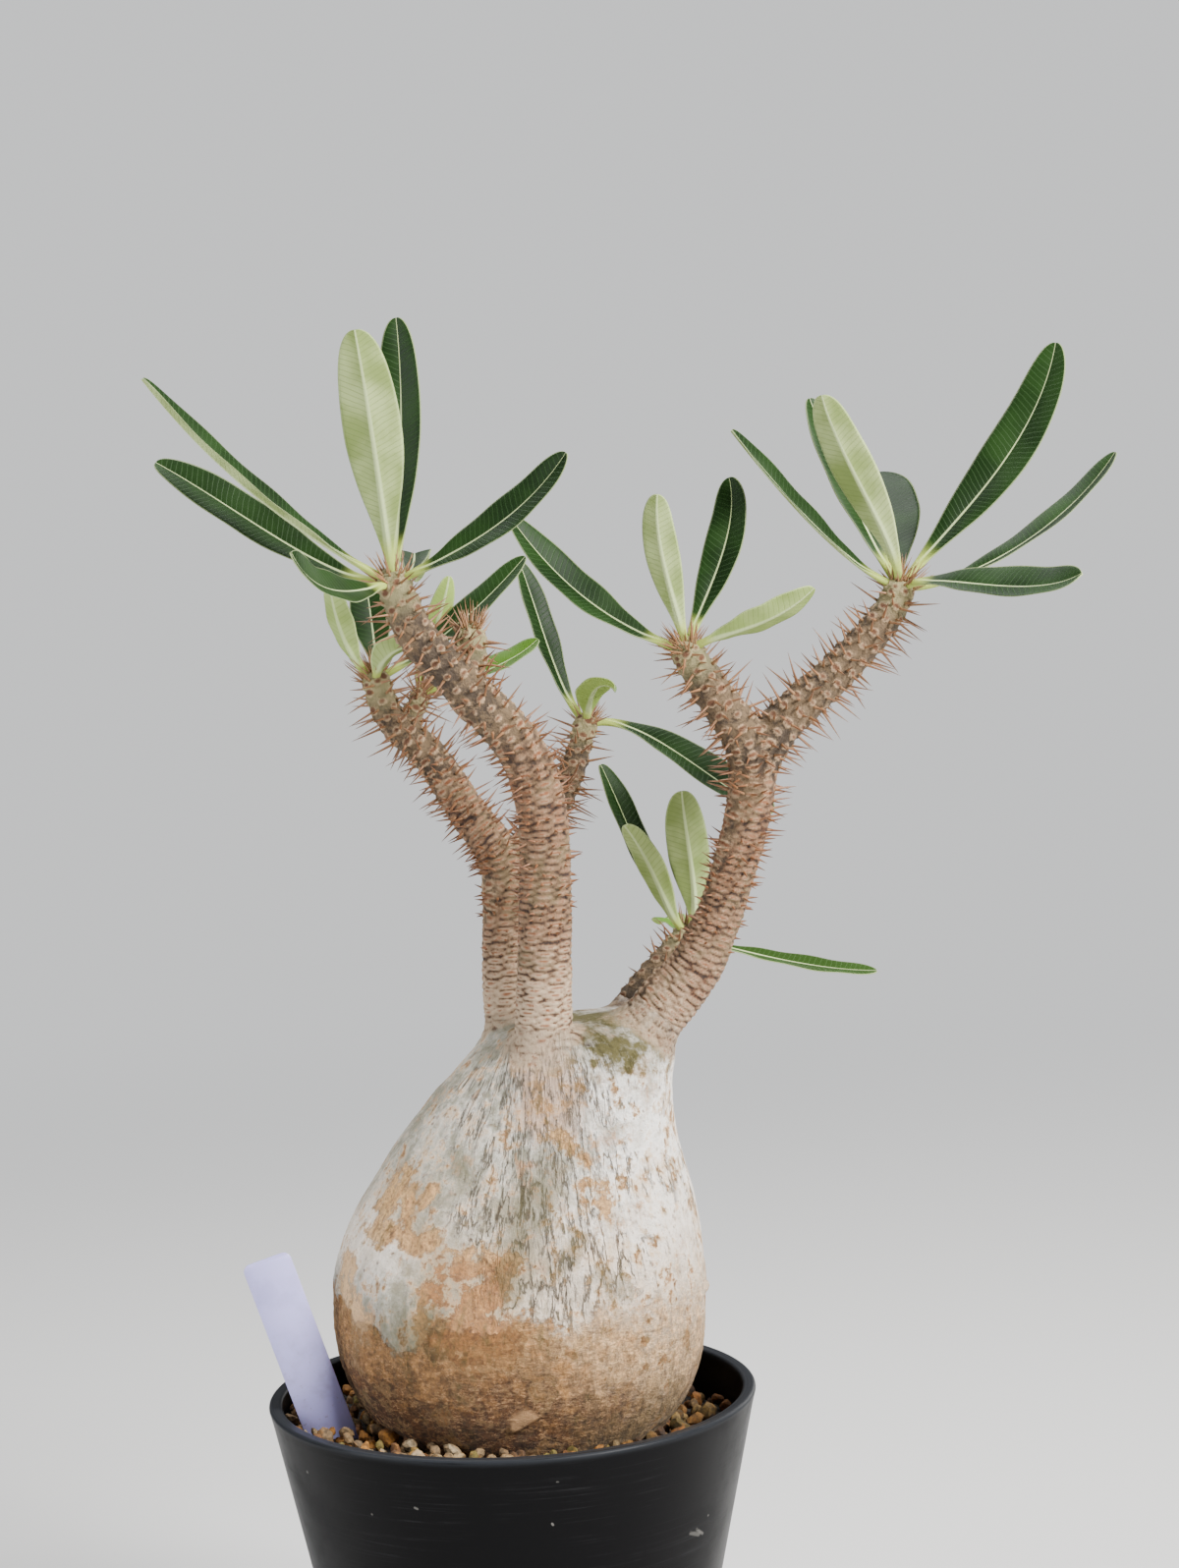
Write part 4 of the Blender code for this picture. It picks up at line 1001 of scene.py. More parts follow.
# To the right the silver skin is painted whiter and the lower fibres less dark: partly the skin's own paler
# tone, partly painted light on the key lamp's side. The same mask also sets how sharp the silver border is.
to_right = between(x, 0.0, 0.045)
fissured_here = read_value(where, "fissured")

cracks = times(thin_lines(crack_noise, 0.035),
               between(plus(breaks, times(fissured_here, 0.19)), 0.62, 0.75))
long_cracks = times(thin_lines(long_noise, 0.028),
                    between(swayed(fissured_here, (cloud, 2.0), (patchy, 2.4)), 0.3, 0.65))
gashes = between(plus(gash_noise, times(fissured_here, 0.14)), 0.745, 0.79)
own_streak = times(minus(streak, 0.5), plus(0.22, times(fissured_here, 1.05)))
# Lower left, the silver skin is painted whiter and warmer: the whiter part is painted light on the side
# away from the key lamp.
left_low = times(between(x, -0.022, -0.042), between(z, 0.19, 0.17))
left_foot = times(between(x, -0.014, -0.024), between(z, 0.172, 0.157))
silver_tone = swayed(times(to_right, 0.75), (cloud, 2.2), (patchy, 1.8), (blot, 1.6), (fleck, 0.8))
silver_tone = minus(plus(silver_tone, own_streak, times(left_low, 0.7)), times(left_foot, 0.5))
warmer = between(z, 0.205, 0.152)
dots = times(inverse(between(cells(where, 210.0), 0.08, 0.19)), between(blot, 0.46, 0.56))
pink_value = read_value(where, "pink")
pink_gashes = times(between(pink_value, 0.05, 0.35), between(gash_noise, 0.60, 0.66))
orange_spots = times(between(pink_value, 0.05, 0.4), between(patchy, 0.58, 0.64))
pink_here = between(swayed(pink_value, (patchy, 2.5), (blot, 1.0)), 0.1, 0.75)
silver_colour = layered(SILVER_GREEN, (between(silver_tone, -0.4, 0.95), 1.0, SILVER_WHITE),
                        (minus(calc("MAXIMUM", warmer, left_low), left_foot), 0.45, SILVER_WARM),
                        (between(swayed(patchy, (cloud, 0.8), (blot, 0.8)), 0.48, 0.66), 0.65, SILVER_WARM),
                        (between(swayed(blot, (cloud, -0.8)), 0.56, 0.68), 0.5, PINK_BEIGE),
                        (pink_here, 0.7, PINK_BEIGE), (orange_spots, 0.7, ORANGE_FLECK),
                        (pink_gashes, 0.85, FISSURE), (between(fleck, 0.56, 0.68), 0.5, FIBRE_BROWN),
                        (between(swayed(breaks, (patchy, -1.0)), 0.66, 0.76), 0.45, ORANGE_FLECK),
                        (cracks, 0.65, FISSURE), (long_cracks, 0.85, FISSURE), (gashes, 0.85, FISSURE),
                        (dots, 0.75, FIBRE_BROWN))
silver_colour = shaded(silver_colour, between(plus(own_streak, 0.5), 0.3, 0.6), 0.72, 1.06)

low_down = between(z, 0.162, 0.108)
# Less dark to the right: painted light on the key lamp's side.
darker = swayed(plus(times(low_down, 1.05), times(to_right, -0.3)), (cloud, 1.3), (patchy, 2.0),
                (blot, 1.6))
across_grain = mottle(squeezed(where, 2.2), 300.0, 8.0, 0.78)
brushed = mottle(squeezed(flowing, 0.35), 700.0, 5.0, 0.7)
# Level fibre bands, each painted from dark at one edge to bright at the other: painted shade and light of
# small ledges, which also go into the relief.
ledges = calc("FRACT", times(mottle(squeezed(where, 3.6), 100.0, 7.0, 0.62), 15.0))
ledges = swayed(0.5, (ledges, between(patchy, 0.4, 0.58)))
web = times(thin_lines(mottle(squeezed(where, 2.4), 230.0, 6.0, 0.7), 0.04),
            between(across_grain, 0.44, 0.58))
olive = times(between(x, 0.01, 0.03), between(swayed(z, (cloud, 0.05), (patchy, 0.06)), 0.134, 0.112))
greyer = swayed(between(x, -0.012, 0.05), (patchy, 2.6), (cloud, 1.6), (blot, 0.8))
fibre_colour = layered(FIBRE_TAN, (between(greyer, 0.05, 0.95), 1.0, FIBRE_GREY),
                       (between(swayed(patchy, (cloud, 0.6), (blot, 0.8)), 0.5, 0.64), 0.6, PEELED_PALE),
                       (between(swayed(cloud, (blot, 0.9)), 0.52, 0.66), 0.35, ORANGE_FLECK),
                       (between(darker, 0.2, 0.75), 0.85, FIBRE_BROWN),
                       (between(darker, 0.75, 1.25), 0.85, FIBRE_DARK),
                       (between(fleck, 0.54, 0.64), 0.4, FIBRE_BROWN),
                       (between(swayed(fleck, (grain, 0.5)), 0.42, 0.34), 0.25, FIBRE_PALE),
                       (web, 0.75, FIBRE_PALE), (olive, 0.6, BARK_OLIVE))
for pattern, dark, bright in ((between(across_grain, 0.34, 0.64), 0.58, 1.3), (ledges, 0.52, 1.46),
                              (between(brushed, 0.34, 0.64), 0.66, 1.3),
                              (between(grain, 0.36, 0.64), 0.8, 1.16)):
    fibre_colour = shaded(fibre_colour, pattern, dark, bright)

border = swayed(read_value(where, "silver"), (patchy, 2.4), (blot, 0.8))
silver_here = mixed(to_right, between(border, 0.38, 0.62), between(border, -0.1, 1.1))
tan_value = swayed(read_value(where, "tan"), (patchy, 3.2), (blot, 2.6), (fleck, 0.8))
tan_halo = between(tan_value, 0.05, 0.5)
tan_here = between(tan_value, 0.34, 0.66)
# The far left edge is painted paler, ochre and grey: painted light along the left edge.
far_left = between(x, -0.034, -0.046)
ochre = plus(times(between(z, 0.162, 0.182), 0.55), far_left)
ochre = swayed(ochre, (cloud, 2.0), (patchy, 2.0), (blot, 1.6))
tan_colour = layered(PEELED_TAN, (between(ochre, -0.1, 0.8), 1.0, PEELED_PALE),
                     (between(swayed(patchy, (blot, 0.8)), 0.54, 0.66), 0.5, ORANGE_FLECK))
tan_colour = shaded(tan_colour, between(grain, 0.35, 0.65), 0.65, 1.15)
tan_colour = layered(tan_colour, (between(fleck, 0.53, 0.63), 0.55, FIBRE_BROWN),
                     (between(blot, 0.58, 0.7), 0.5, FIBRE_BROWN), (far_left, 0.6, FIBRE_GREY))
tan_rim = times(tan_here, inverse(tan_here))
on_top = between(z, 0.212, 0.224)
run_down = times(minus(streak, 0.5), minus(4.0, times(on_top, 4.0)))
green_value = plus(swayed(read_value(where, "green"), (patchy, 2.2), (blot, 1.2)), run_down)
green_here = times(between(green_value, 0.15, 0.9), plus(0.55, times(on_top, 0.45)))
# Hollows and the flake's upper dimple are painted near-black: painted shade.
colour = layered(fibre_colour, (silver_here, 1.0, silver_colour), (tan_halo, 0.5, PEELED_PALE),
                 (tan_here, 0.9, tan_colour), (tan_rim, 1.3, FIBRE_BROWN), (green_here, 1.0, MOSS),
                 (read_value(where, "flake"), 0.65, FIBRE_PALE),
                 (read_value(where, "hollow"), 1.0, FIBRE_DARK))
bark_look = bark_fed_with(where, "raised", "scarred")
bark_here = between(swayed(read_value(where, "bark"), (patchy, 1.8), (blot, 1.2)), 0.3, 1.15)
colour = layered(colour, (bark_here, 1.0, bark_look["Color"]))

silver_height = swayed(plus(times(cracks, -0.6), times(own_streak, 1.2)), (blot, 1.8), (fleck, 0.6),
                       (gashes, -0.8), (long_cracks, -0.9))
fibre_height = swayed(times(web, 0.3), (grain, 1.0), (across_grain, 1.8), (brushed, 0.8), (ledges, 0.6))
height = plus(mixed(silver_here, fibre_height, silver_height), times(tan_here, -0.35))
dress(shader, colour, minus(0.84, times(silver_here, 0.2)), mixed(bark_here, height, bark_look["Height"]),
      0.9, 0.001)

caudex = add_piece("caudex_skin", caudex_mesh, caudex_material)
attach(caudex, "root")
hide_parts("caudex")

# Stems
# Water-storing shoots under a beige bark. Every leaf that they dropped left a low cushion with a
# scar on it: in tight level ridges on the old wood, wider apart towards the growing tips.
STEM_VOXEL = 0.52
STEM_HIDDEN = 7.0
STEM_TUCK = 0.35
STEM_LUMP = 0.3

stem_material, shader, where = new_material("ridged bark", 0.8)
look = bark_fed_with(where, "raised", "scarred", "age", "tip")
dress(shader, look["Color"], None, look["Height"], 0.8, 0.0006)

for name, branches in paths.items():
    solids = []
    for number, path in enumerate(branches):
        rings = []
        if number == 0:
            for lead in (-STEM_HIDDEN, -STEM_HIDDEN / 2, -1.0):
                rings.append(ring_round(path, 0, path["radii"][0] - STEM_TUCK, lead))
        last = len(path["middles"]) - 1
        for row in [*range(0, last, 3), last]:
            rings.append(ring_round(path, row, path["radii"][row]))
        for rise in (15, 30, 45, 60, 75, 86):
            lead, radius = (path["radii"][last] * f(math.radians(rise)) for f in (math.sin, math.cos))
            rings.append(ring_round(path, last, radius, lead))
        solids.append(skinned(rings))
    mesh = fused(name, solids, STEM_VOXEL)
    places, pairs = mesh_places(mesh)
    found = [on_path(places, path) for path in branches]
    depth = np.stack([reach - np.interp(along, path["far"], path["radii"])
                      for (along, _, reach), path in zip(found, branches)])
    weights = np.exp(-(depth - depth.min(0)) / 0.5)
    weights /= weights.sum(0)
    fork = 1 - soft(weights.max(0), 0.7, 1.0)
    places = eased(places, pairs, np.full(len(places), 0.5), 3)
    near_fork = fork.copy()
    for _ in range(6):
        spread = np.maximum(near_fork[pairs[:, 0]], near_fork[pairs[:, 1]])
        np.maximum.at(near_fork, pairs[:, 0], spread * 0.9)
        np.maximum.at(near_fork, pairs[:, 1], spread * 0.9)
    places = eased(places, pairs, 0.5 * near_fork, 30)
    move_points(mesh, places)
    raised, scarred, age = np.zeros((3, len(places)))
    for (along, angle, reach), path, lattice, weight, number in zip(found, branches, lattices[name],
                                                                    weights, range(9)):
        here = tubercle_relief(along, angle, reach, path, lattice, phases[name] + number)
        raised, scarred, age = (total + weight * part for total, part in zip((raised, scarred, age), here))
    tall = np.interp(age, (0, 1), TUBERCLE_HEIGHT)
    relief = tall * (raised - 0.55) - (0.2 + 0.25 * age) * scarred + STEM_LUMP * lumps(places, 9.0, 12, 2)
    relief += 0.12 * lumps(places, 1.6, 13, 2)
    above = soft(found[0][0], -0.9, 0.3)
    relief = relief * (0.3 + 0.7 * above) - 0.3 * (1 - above)
    places = places + point_normals(mesh) * relief[:, None]
    move_points(mesh, places)
    tip = sum(weight * soft(along, path["far"][-1] - TIP_LENGTH, path["far"][-1])
              for weight, (along, _, _), path in zip(weights, found, branches))
    set_values(mesh, raised=raised, scarred=scarred, age=age, tip=tip)
    mesh.shade_smooth()
    stem = add_piece(name + "_bark", mesh, stem_material)
    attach(stem, "root")
    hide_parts(name)

# Leaves
# Long narrow blades in a loose whorl at each growing tip: dark and satin above, pale and dull below,
# with a pale midrib, close level veins and a thin pale margin. Young ones are a clear yellow-green.
GROWING_TIPS = {
    "leaf_front_left": ("stem_front_left", 0, [
        ((200, 30), (-94, -39, 432), (0, 0, -11), 13, (0.6, -0.2, 0.75), 28),
        ((160, 7), (-94, -12, 408), (0, 0, 0), 14.5, (0.2, -0.75, 0.6), 15),
        ((238, -4), (-52, -72, 381), (-2, -6, -12), 15, (0.45, -0.6, 0.8), 16),
        ((262, 60), (-32, -52, 443), (1, -2, 0), 17.5, (0.1, 0.94, 0.33), 12),
        ((78, 56), (-21, -10, 448), (3, 0, 0), 14, (-0.25, -0.95, 0.2), 18),
        ((332, 22), (27, -40, 406), (2, 0, -9), 14.5, (-0.35, -0.68, 0.7), 13),
        ((55, 14), (-19, 18, 369), (0, 0, 16), 11, (0.0, -0.2, 1.0), 14),
    ]),
    "leaf_back_left": ("stem_back_left", 0, [
        ((192, 46), (-45, 8, 369.5), (-2, 0, -2), 10, (0.5, 0.8, 0.25), 16),
        ((85, 50), (-35, 36, 370), (0, 0, 0), 13, (0.0, -0.95, 0.3), 14),
        ((280, 30), (-14, 3, 349), (-6, -4, 7), 13, (-0.2, 0.5, 0.8), 20),
        ((8, 28), (15, 30, 375), (-2, 0, -7), 12, (-0.5, -0.65, 0.55), 16),
    ]),
    "leaf_back_bud": ("stem_back_left", 2, [
        ((90, 62), (-9, 28, 370), (1, 0, -2), 8, (-0.2, 0.95, 0.1), 14),
        ((345, 20), (18, 34, 349), (2, 0, -4), 10, (-0.2, -0.5, 0.85), 16),
    ]),
    "leaf_back_middle": ("stem_back_left", 1, [
        ((165, 55), (13, 58, 373), (0, 0, 0), 10, (0.55, -0.8, 0.25), 16),
        ((280, 45), (41, 27, 333), (-4, 0, 8), 12.5, (-0.3, 0.7, 0.6), 6),
        ((5, 4), (88, 18, 293), (4, 0, -5), 15, (0.15, -0.55, 0.8), 18),
    ]),
    "leaf_right_inner": ("stem_right", 0, [
        ((178, 22), (10, -6, 388), (0, 0, -11), 15, (0.4, -0.65, 0.65), 15),
        ((250, 58), (53, -36, 393), (-4, 0, 0), 10.5, (0.15, 0.9, 0.4), 12),
        ((60, 52), (77, 2, 397), (8, 0, -1), 12.5, (-0.4, -0.9, 0.2), 16),
        ((330, 24), (98, -32, 364), (0, 0, -6), 12.5, (-0.27, 0.7, 0.65), 14),
    ]),
    "leaf_right_outer": ("stem_right", 1, [
        ((190, 28), (77, -12, 411), (0, 0, -5), 11, (0.55, -0.45, 0.7), 20),
        ((255, 58), (103, -25, 420), (-3, 0, 0), 14, (0.3, 0.85, 0.45), 12),
        ((140, 56), (103, 12, 420), (-2, 0, 0), 12, (0.4, -0.85, 0.3), 14),
        ((88, 26), (127, 60, 396), (4, 0, 6), 20, (0.0, -0.5, 0.85), 14),
        ((26, 46), (179, 12, 434), (9.5, 0, -9), 16.5, (-0.45, -0.85, 0.3), 14),
        ((354, 4), (198, 20, 400), (7, 0, -8), 11, (-0.5, -0.42, 0.8), 18),
        ((308, 16), (176, -38, 365), (3, 0, -8), 16, (0.0, -0.6, 0.8), 16),
    ]),
    "leaf_low_right": ("stem_low_right", 0, [
        ((150, 48), (36, 45, 308), (0, 0, 0), 11, (0.5, -0.7, 0.5), 18),
        ((225, 44), (42, 20, 291), (3, 0, 0), 9.5, (0.3, 0.85, 0.35), 14),
        ((290, 50), (60, 18, 301), (0, 0, 0), 13.5, (-0.1, 0.95, 0.3), 12),
        ((105, 10), (54, 62, 254), (0, 0, 5), 10, (0.0, -0.3, 1.0), 14),
        ((355, -18), (122, 45, 238), (0, 0, -3.5), 9, (0.15, -0.42, 0.95), 12),
    ]),
}
YOUNG_LEAVES = {"leaf_back_middle_2": 0.8, "leaf_low_right_4": 0.9, "leaf_back_bud_1": 0.8,
                "leaf_back_bud_2": 0.5, "leaf_low_right_5": 0.12, "leaf_right_inner_4": 0.35,
                "leaf_back_left_1": 0.3, "leaf_back_left_3": 0.2, "leaf_low_right_2": 0.2}
LEAF_WIDEST = 0.6
PETIOLE_WIDTH = 2.6
LEAF_END_POWERS = (2.4, 0.45)
FOLD_STARTS = 0.3
LEAF_WAVE = 0.22
LEAF_WAVES = 3.5
PETIOLE_REACH = 0.24
BEND_AT = 0.66
SEAT_GAP = 0.4
LEAF_ROWS = 84
LEAF_COLUMNS = [0.0, 0.07, 0.16, 0.32, 0.52, 0.72, 0.89, 1.0]
MARGIN_HALF_THICKNESS = 0.15
BLADE_HALF_THICKNESS = 0.3
KEEL = 0.75
GROOVE = 0.16
VEIN_SPACING = 1.6
TOP_GREEN = (0.0045, 0.016, 0.0022)
TOP_GREEN_LIGHT = (0.0105, 0.032, 0.0048)
TOP_VEIN = (0.026, 0.060, 0.017)
UNDER_GREEN = (0.175, 0.235, 0.070)
UNDER_PALE = (0.32, 0.39, 0.165)
UNDER_VEIN = (0.105, 0.155, 0.040)
RIB_PALE = (0.42, 0.50, 0.25)
YOUNG_TOP = (0.10, 0.22, 0.018)
YOUNG_UNDER = (0.24, 0.35, 0.065)
STALK_GREEN = (0.36, 0.44, 0.085)

blade_columns = [-column for column in reversed(LEAF_COLUMNS[1:])] + LEAF_COLUMNS
between_margins = blade_columns[1:-1]
leaf_ring = [(blade_columns[0], 0.0), *((column, 1.0) for column in between_margins),
             (blade_columns[-1], 0.0), *((column, -1.0) for column in reversed(between_margins))]
leaf_rows = [(0.0, 3.4), (0.0, 1.6)]
leaf_rows += [(math.sin(math.pi / 2 * (i / LEAF_ROWS)) ** 1.15 * 0.9985, 0.0) for i in range(LEAF_ROWS + 1)]
flat_points, flat_faces = skinned([[(column, share, side) for column, side in leaf_ring]
                                   for share, _ in leaf_rows])
flat_leaf = bpy.data.meshes.new("flat leaf")
flat_leaf.from_pydata([Vector(p) * MM for p in flat_points], [], flat_faces)
across, stalkward, face_side = zip(*flat_points)
set_values(flat_leaf, column=across, share=stalkward, side=face_side,
           back=[back for _, back in leaf_rows for _ in leaf_ring])


def geometry_tree(name, inputs):
    """A new tree that changes geometry, the values given to it and the sockets of its result."""
    made = bpy.data.node_groups.new(name, "GeometryNodeTree")
    made.interface.new_socket("Geometry", in_out="INPUT", socket_type="NodeSocketGeometry")
    for title, kind in inputs:
        made.interface.new_socket(title, in_out="INPUT", socket_type="NodeSocket" + kind)
    made.interface.new_socket("Geometry", in_out="OUTPUT", socket_type="NodeSocketGeometry")
    return made, made.nodes.new("NodeGroupInput").outputs, made.nodes.new("NodeGroupOutput").inputs


def grown(name, start, tree, values, material):
    """A plain piece from a start mesh and a Geometry Nodes tree, its inputs set by their identifiers."""
    values = {**values, "Material": material}
    base = in_scene(name, start)
    grower = base.modifiers.new("Grown", "NODES")
    grower.node_group = tree
    for item in tree.interface.items_tree:
        if item.in_out == "INPUT" and item.name in values:
            grower[item.identifier] = values[item.name]
    made = evaluated_copy(base)
    base.modifiers.clear()
    bpy.data.objects.remove(base, do_unlink=True)
    return add_piece(name, made, material)


def named(tree, title, kind="FLOAT"):
    """A value stored on the points, read by its name."""
    return add(tree, "GeometryNodeInputNamedAttribute", {"Name": title},
               data_type=kind).outputs["Attribute"]


def finish_tree(shape, given, result):
    """End a tree in real, coated geometry."""
    real = fed("GeometryNodeRealizeInstances", {"Geometry": shape}).outputs[0]
    coated = fed("GeometryNodeSetMaterial", {"Geometry": real, "Material": given["Material"]}).outputs[0]
    shape.id_data.links.new(coated, result["Geometry"])


def on_the_way(share, start, end):
    """The point at a share of the way between two others."""
    return fed("ShaderNodeMix", {0: share, 4: start, 5: end}, data_type="VECTOR",
               clamp_factor=False).outputs[1]


leaf_tree, given, result = geometry_tree("leaf blade", [
    ("Foot", "Vector"), ("Petiole end", "Vector"), ("Bend", "Vector"), ("Tip", "Vector"),
    ("Facing", "Vector"), ("Width", "Float"), ("Fold", "Float"), ("Youth", "Float"),
    ("Material", "Material")])
share, column, side_sign, back = (named(leaf_tree, title) for title in ("share", "column", "side", "back"))
stops = [given[title] for title in ("Foot", "Petiole end", "Bend", "Tip")]
while len(stops) > 2:
    stops = [on_the_way(share, start, end) for start, end in zip(stops, stops[1:])]
forward = vector_calc("NORMALIZE", vector_calc("SUBTRACT", stops[1], stops[0]))
sideways = vector_calc("NORMALIZE", vector_calc("CROSS_PRODUCT", forward, given["Facing"]))
upward = vector_calc("CROSS_PRODUCT", sideways, forward)
widening = between(share, 0.0, LEAF_WIDEST)
full = plus(PETIOLE_WIDTH * MM, times(widening, minus(given["Width"], PETIOLE_WIDTH * MM)))
past = calc("DIVIDE", calc("MAXIMUM", minus(share, LEAF_WIDEST), 0.0), 1 - LEAF_WIDEST)
narrowing = calc("POWER", inverse(calc("POWER", past, LEAF_END_POWERS[0])), LEAF_END_POWERS[1])
half = times(full, narrowing, 0.5)
spread = calc("MINIMUM", calc("DIVIDE", share, FOLD_STARTS), 1.0)
bend = times(given["Fold"], spread)
reach = times(half, column)
from_rib = calc("ABSOLUTE", reach)
out = times(reach, calc("COSINE", bend))
cupped = minus(1.25, times(calc("ABSOLUTE", column), 0.25))
lift = times(from_rib, cupped, calc("SINE", bend))
swing = times(calc("SINE", times(share, math.tau * LEAF_WAVES)), spread, times(column, -LEAF_WAVE * MM))
round_off = inverse(times(column, column))
thick = plus(MARGIN_HALF_THICKNESS * MM,
             times(round_off, (BLADE_HALF_THICKNESS - MARGIN_HALF_THICKNESS) * MM))
rib = calc("DIVIDE", from_rib, 0.95 * MM)
rib = calc("EXPONENT", times(rib, rib, -1.0))
below = calc("MAXIMUM", times(side_sign, -1.0), 0.0)
above = calc("MAXIMUM", side_sign, 0.0)
thinner = inverse(times(share, 0.8))
rib_lift = minus(times(below, KEEL * MM), times(above, GROOVE * MM))
thick = plus(thick, times(rib, thinner, rib_lift))
stalk_round = plus(0.1 * MM, times(calc("SQRT", calc("MAXIMUM", round_off, 0.0)), 1.0 * MM))
stalk = inverse(between(share, 0.03, 0.2))
lift = plus(lift, swing, times(side_sign, mixed(stalk, thick, stalk_round)))
place = on_the_way(share, *stops)
for way, far in ((sideways, out), (upward, lift), (forward, times(back, -MM))):
    place = vector_calc("ADD", place, vector_calc("SCALE", way, scale=far))
shape = given["Geometry"]
leaf_length = vector_calc("DISTANCE", given["Foot"], given["Tip"])
stored = {"from_midrib": calc("DIVIDE", from_rib, MM),
          "from_margin": calc("DIVIDE", minus(half, from_rib), MM),
          "up_leaf": calc("DIVIDE", times(share, leaf_length), MM), "youth": given["Youth"]}
for title, value in stored.items():
    shape = fed("GeometryNodeStoreNamedAttribute", {"Geometry": shape, "Name": title, "Value": value},
                data_type="FLOAT", domain="POINT").outputs[0]
shape = fed("GeometryNodeSetPosition", {"Geometry": shape, "Position": place}).outputs[0]
finish_tree(shape, given, result)

leaf_material, shader, where = new_material("leaf skin", 0.42, Specular_IOR_Level=0.13)
share, from_rib, from_margin, up_leaf, youth, side = (read_value(where, title) for title in (
    "share", "from_midrib", "from_margin", "up_leaf", "youth", "side"))
below = between(side, 0.1, -0.1)
vein_way = calc("DIVIDE", minus(up_leaf, times(from_rib, 0.42)), VEIN_SPACING)
vein_way = plus(vein_way, times(mottle(where, 130.0, 2.0, 0.5), 0.9))
vein_line = between(calc("ABSOLUTE", minus(calc("FRACT", vein_way), 0.5)), 0.36, 0.5)
cloud = mottle(where, 60.0, 4.0, 0.5)
lighter = between(cloud, 0.35, 0.65)
top = layered(TOP_GREEN, (lighter, 1.0, TOP_GREEN_LIGHT), (vein_line, 0.55, TOP_VEIN),
              (youth, 1.0, YOUNG_TOP))
under = layered(UNDER_GREEN, (lighter, 1.0, UNDER_PALE), (vein_line, 0.45, UNDER_VEIN),
                (youth, 1.0, YOUNG_UNDER))
rib_width = times(plus(0.28, times(below, 0.5)), minus(1.25, share))
on_rib = inverse(between(calc("DIVIDE", from_rib, rib_width), 0.8, 1.7))
on_margin = inverse(between(from_margin, 0.2, 0.55))
stalk = inverse(between(share, 0.06, 0.2))
colour = layered(top, (below, 1.0, under), (on_rib, 0.85, RIB_PALE), (on_margin, 0.45, RIB_PALE),
                 (stalk, 0.85, STALK_GREEN))
dress(shader, colour, plus(0.42, times(below, 0.25), times(cloud, 0.1)), times(vein_line, -0.8), 0.3,
      0.0002)


def leaf_curve(tip_point, tip_radius, heading, tip, sag):
    """Control points of a leaf's midrib, from the growing tip's surface to the leaf's own tip."""
    turn, rise = (math.radians(a) for a in heading)
    outward = Vector((math.cos(turn) * math.cos(rise), math.sin(turn) * math.cos(rise), math.sin(rise)))
    foot = tip_point + outward * (tip_radius + SEAT_GAP)
    reach = Vector(tip) - foot
    return [foot, foot + outward * reach.length * PETIOLE_REACH, foot + reach * BEND_AT + Vector(sag),
            Vector(tip)]


leaf_curves = []
for group, (stem, branch, leaves) in GROWING_TIPS.items():
    x, y, z, radius = STEMS[stem][branch][-1]
    for number, (heading, tip, sag, width, facing, fold) in enumerate(leaves):
        name = f"{group}_{number + 1}"
        curve = leaf_curve(Vector((x, y, z)), radius, heading, tip, sag)
        leaf_curves.append((curve, width))
        foot, petiole_end, bend, end = (tuple(point * MM) for point in curve)
        leaf = grown(name + "_blade", flat_leaf, leaf_tree,
                     {"Foot": foot, "Petiole end": petiole_end, "Bend": bend, "Tip": end, "Facing": facing,
                      "Width": width * MM, "Fold": math.radians(fold),
                      "Youth": YOUNG_LEAVES.get(name, 0.0)},
                     leaf_material)
        leaf.data.shade_smooth()
        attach(leaf, "root")
        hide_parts(name)

# Spines
# A pair of slender reddish-brown spines stands below each leaf scar, longest on the young wood and
# worn to stubs lower down. The growing tips bristle with young ones, still soft and tan.
SPINES_START = {"stem_front_left": 22, "stem_back_left": 18, "stem_right": 24, "stem_low_right": 4}
BRANCH_SPINES_START = 7.0
SPINE_LENGTHS = (1.4, 11.0)
SPINE_BASE_RADIUS = 0.46
SPINE_SUNK = 0.5
SPINE_SIDES = 5
SPINE_ROWS = (0.0, 0.12, 0.35, 0.62, 0.85)
SPINE_LEAN = 0.35
SPINE_CLEARANCE = 1.0
LEAFLESS_TIP = ("stem_front_left", 1)
YOUNG_SPINES = 60
YOUNG_SPINE_LENGTHS = (4.0, 8.5)
YOUNG_SPINE_RADIUS = 0.34
SPINE_BROWN = (0.095, 0.032, 0.012)
SPINE_RUST = (0.175, 0.064, 0.023)
SPINE_TAN = (0.28, 0.155, 0.072)

spine_rings = []
for row in SPINE_ROWS:
    radius = (1 - row) ** 0.8 * (1.25 if row == 0 else 1.0)
    angles = [math.tau * k / SPINE_SIDES for k in range(SPINE_SIDES)]
    spine_rings.append([(radius * math.cos(a) + SPINE_LEAN * row * row, radius * math.sin(a), row)
                        for a in angles])
spine_points, spine_faces = skinned(spine_rings)
last_ring = range(len(spine_points) - SPINE_SIDES, len(spine_points))
spine_faces[1:2] = [(a, b, len(spine_points)) for a, b in zip(last_ring, [*last_ring[1:], last_ring[0]])]
spine_points.append((SPINE_LEAN, 0.0, 1.0))
spine_mesh = bpy.data.meshes.new("spine")
spine_mesh.from_pydata(spine_points, [], spine_faces)
set_values(spine_mesh, up_spine=[point[2] for point in spine_points])
spine_mesh.shade_smooth()
one_spine = bpy.data.objects.new("one spine", spine_mesh)

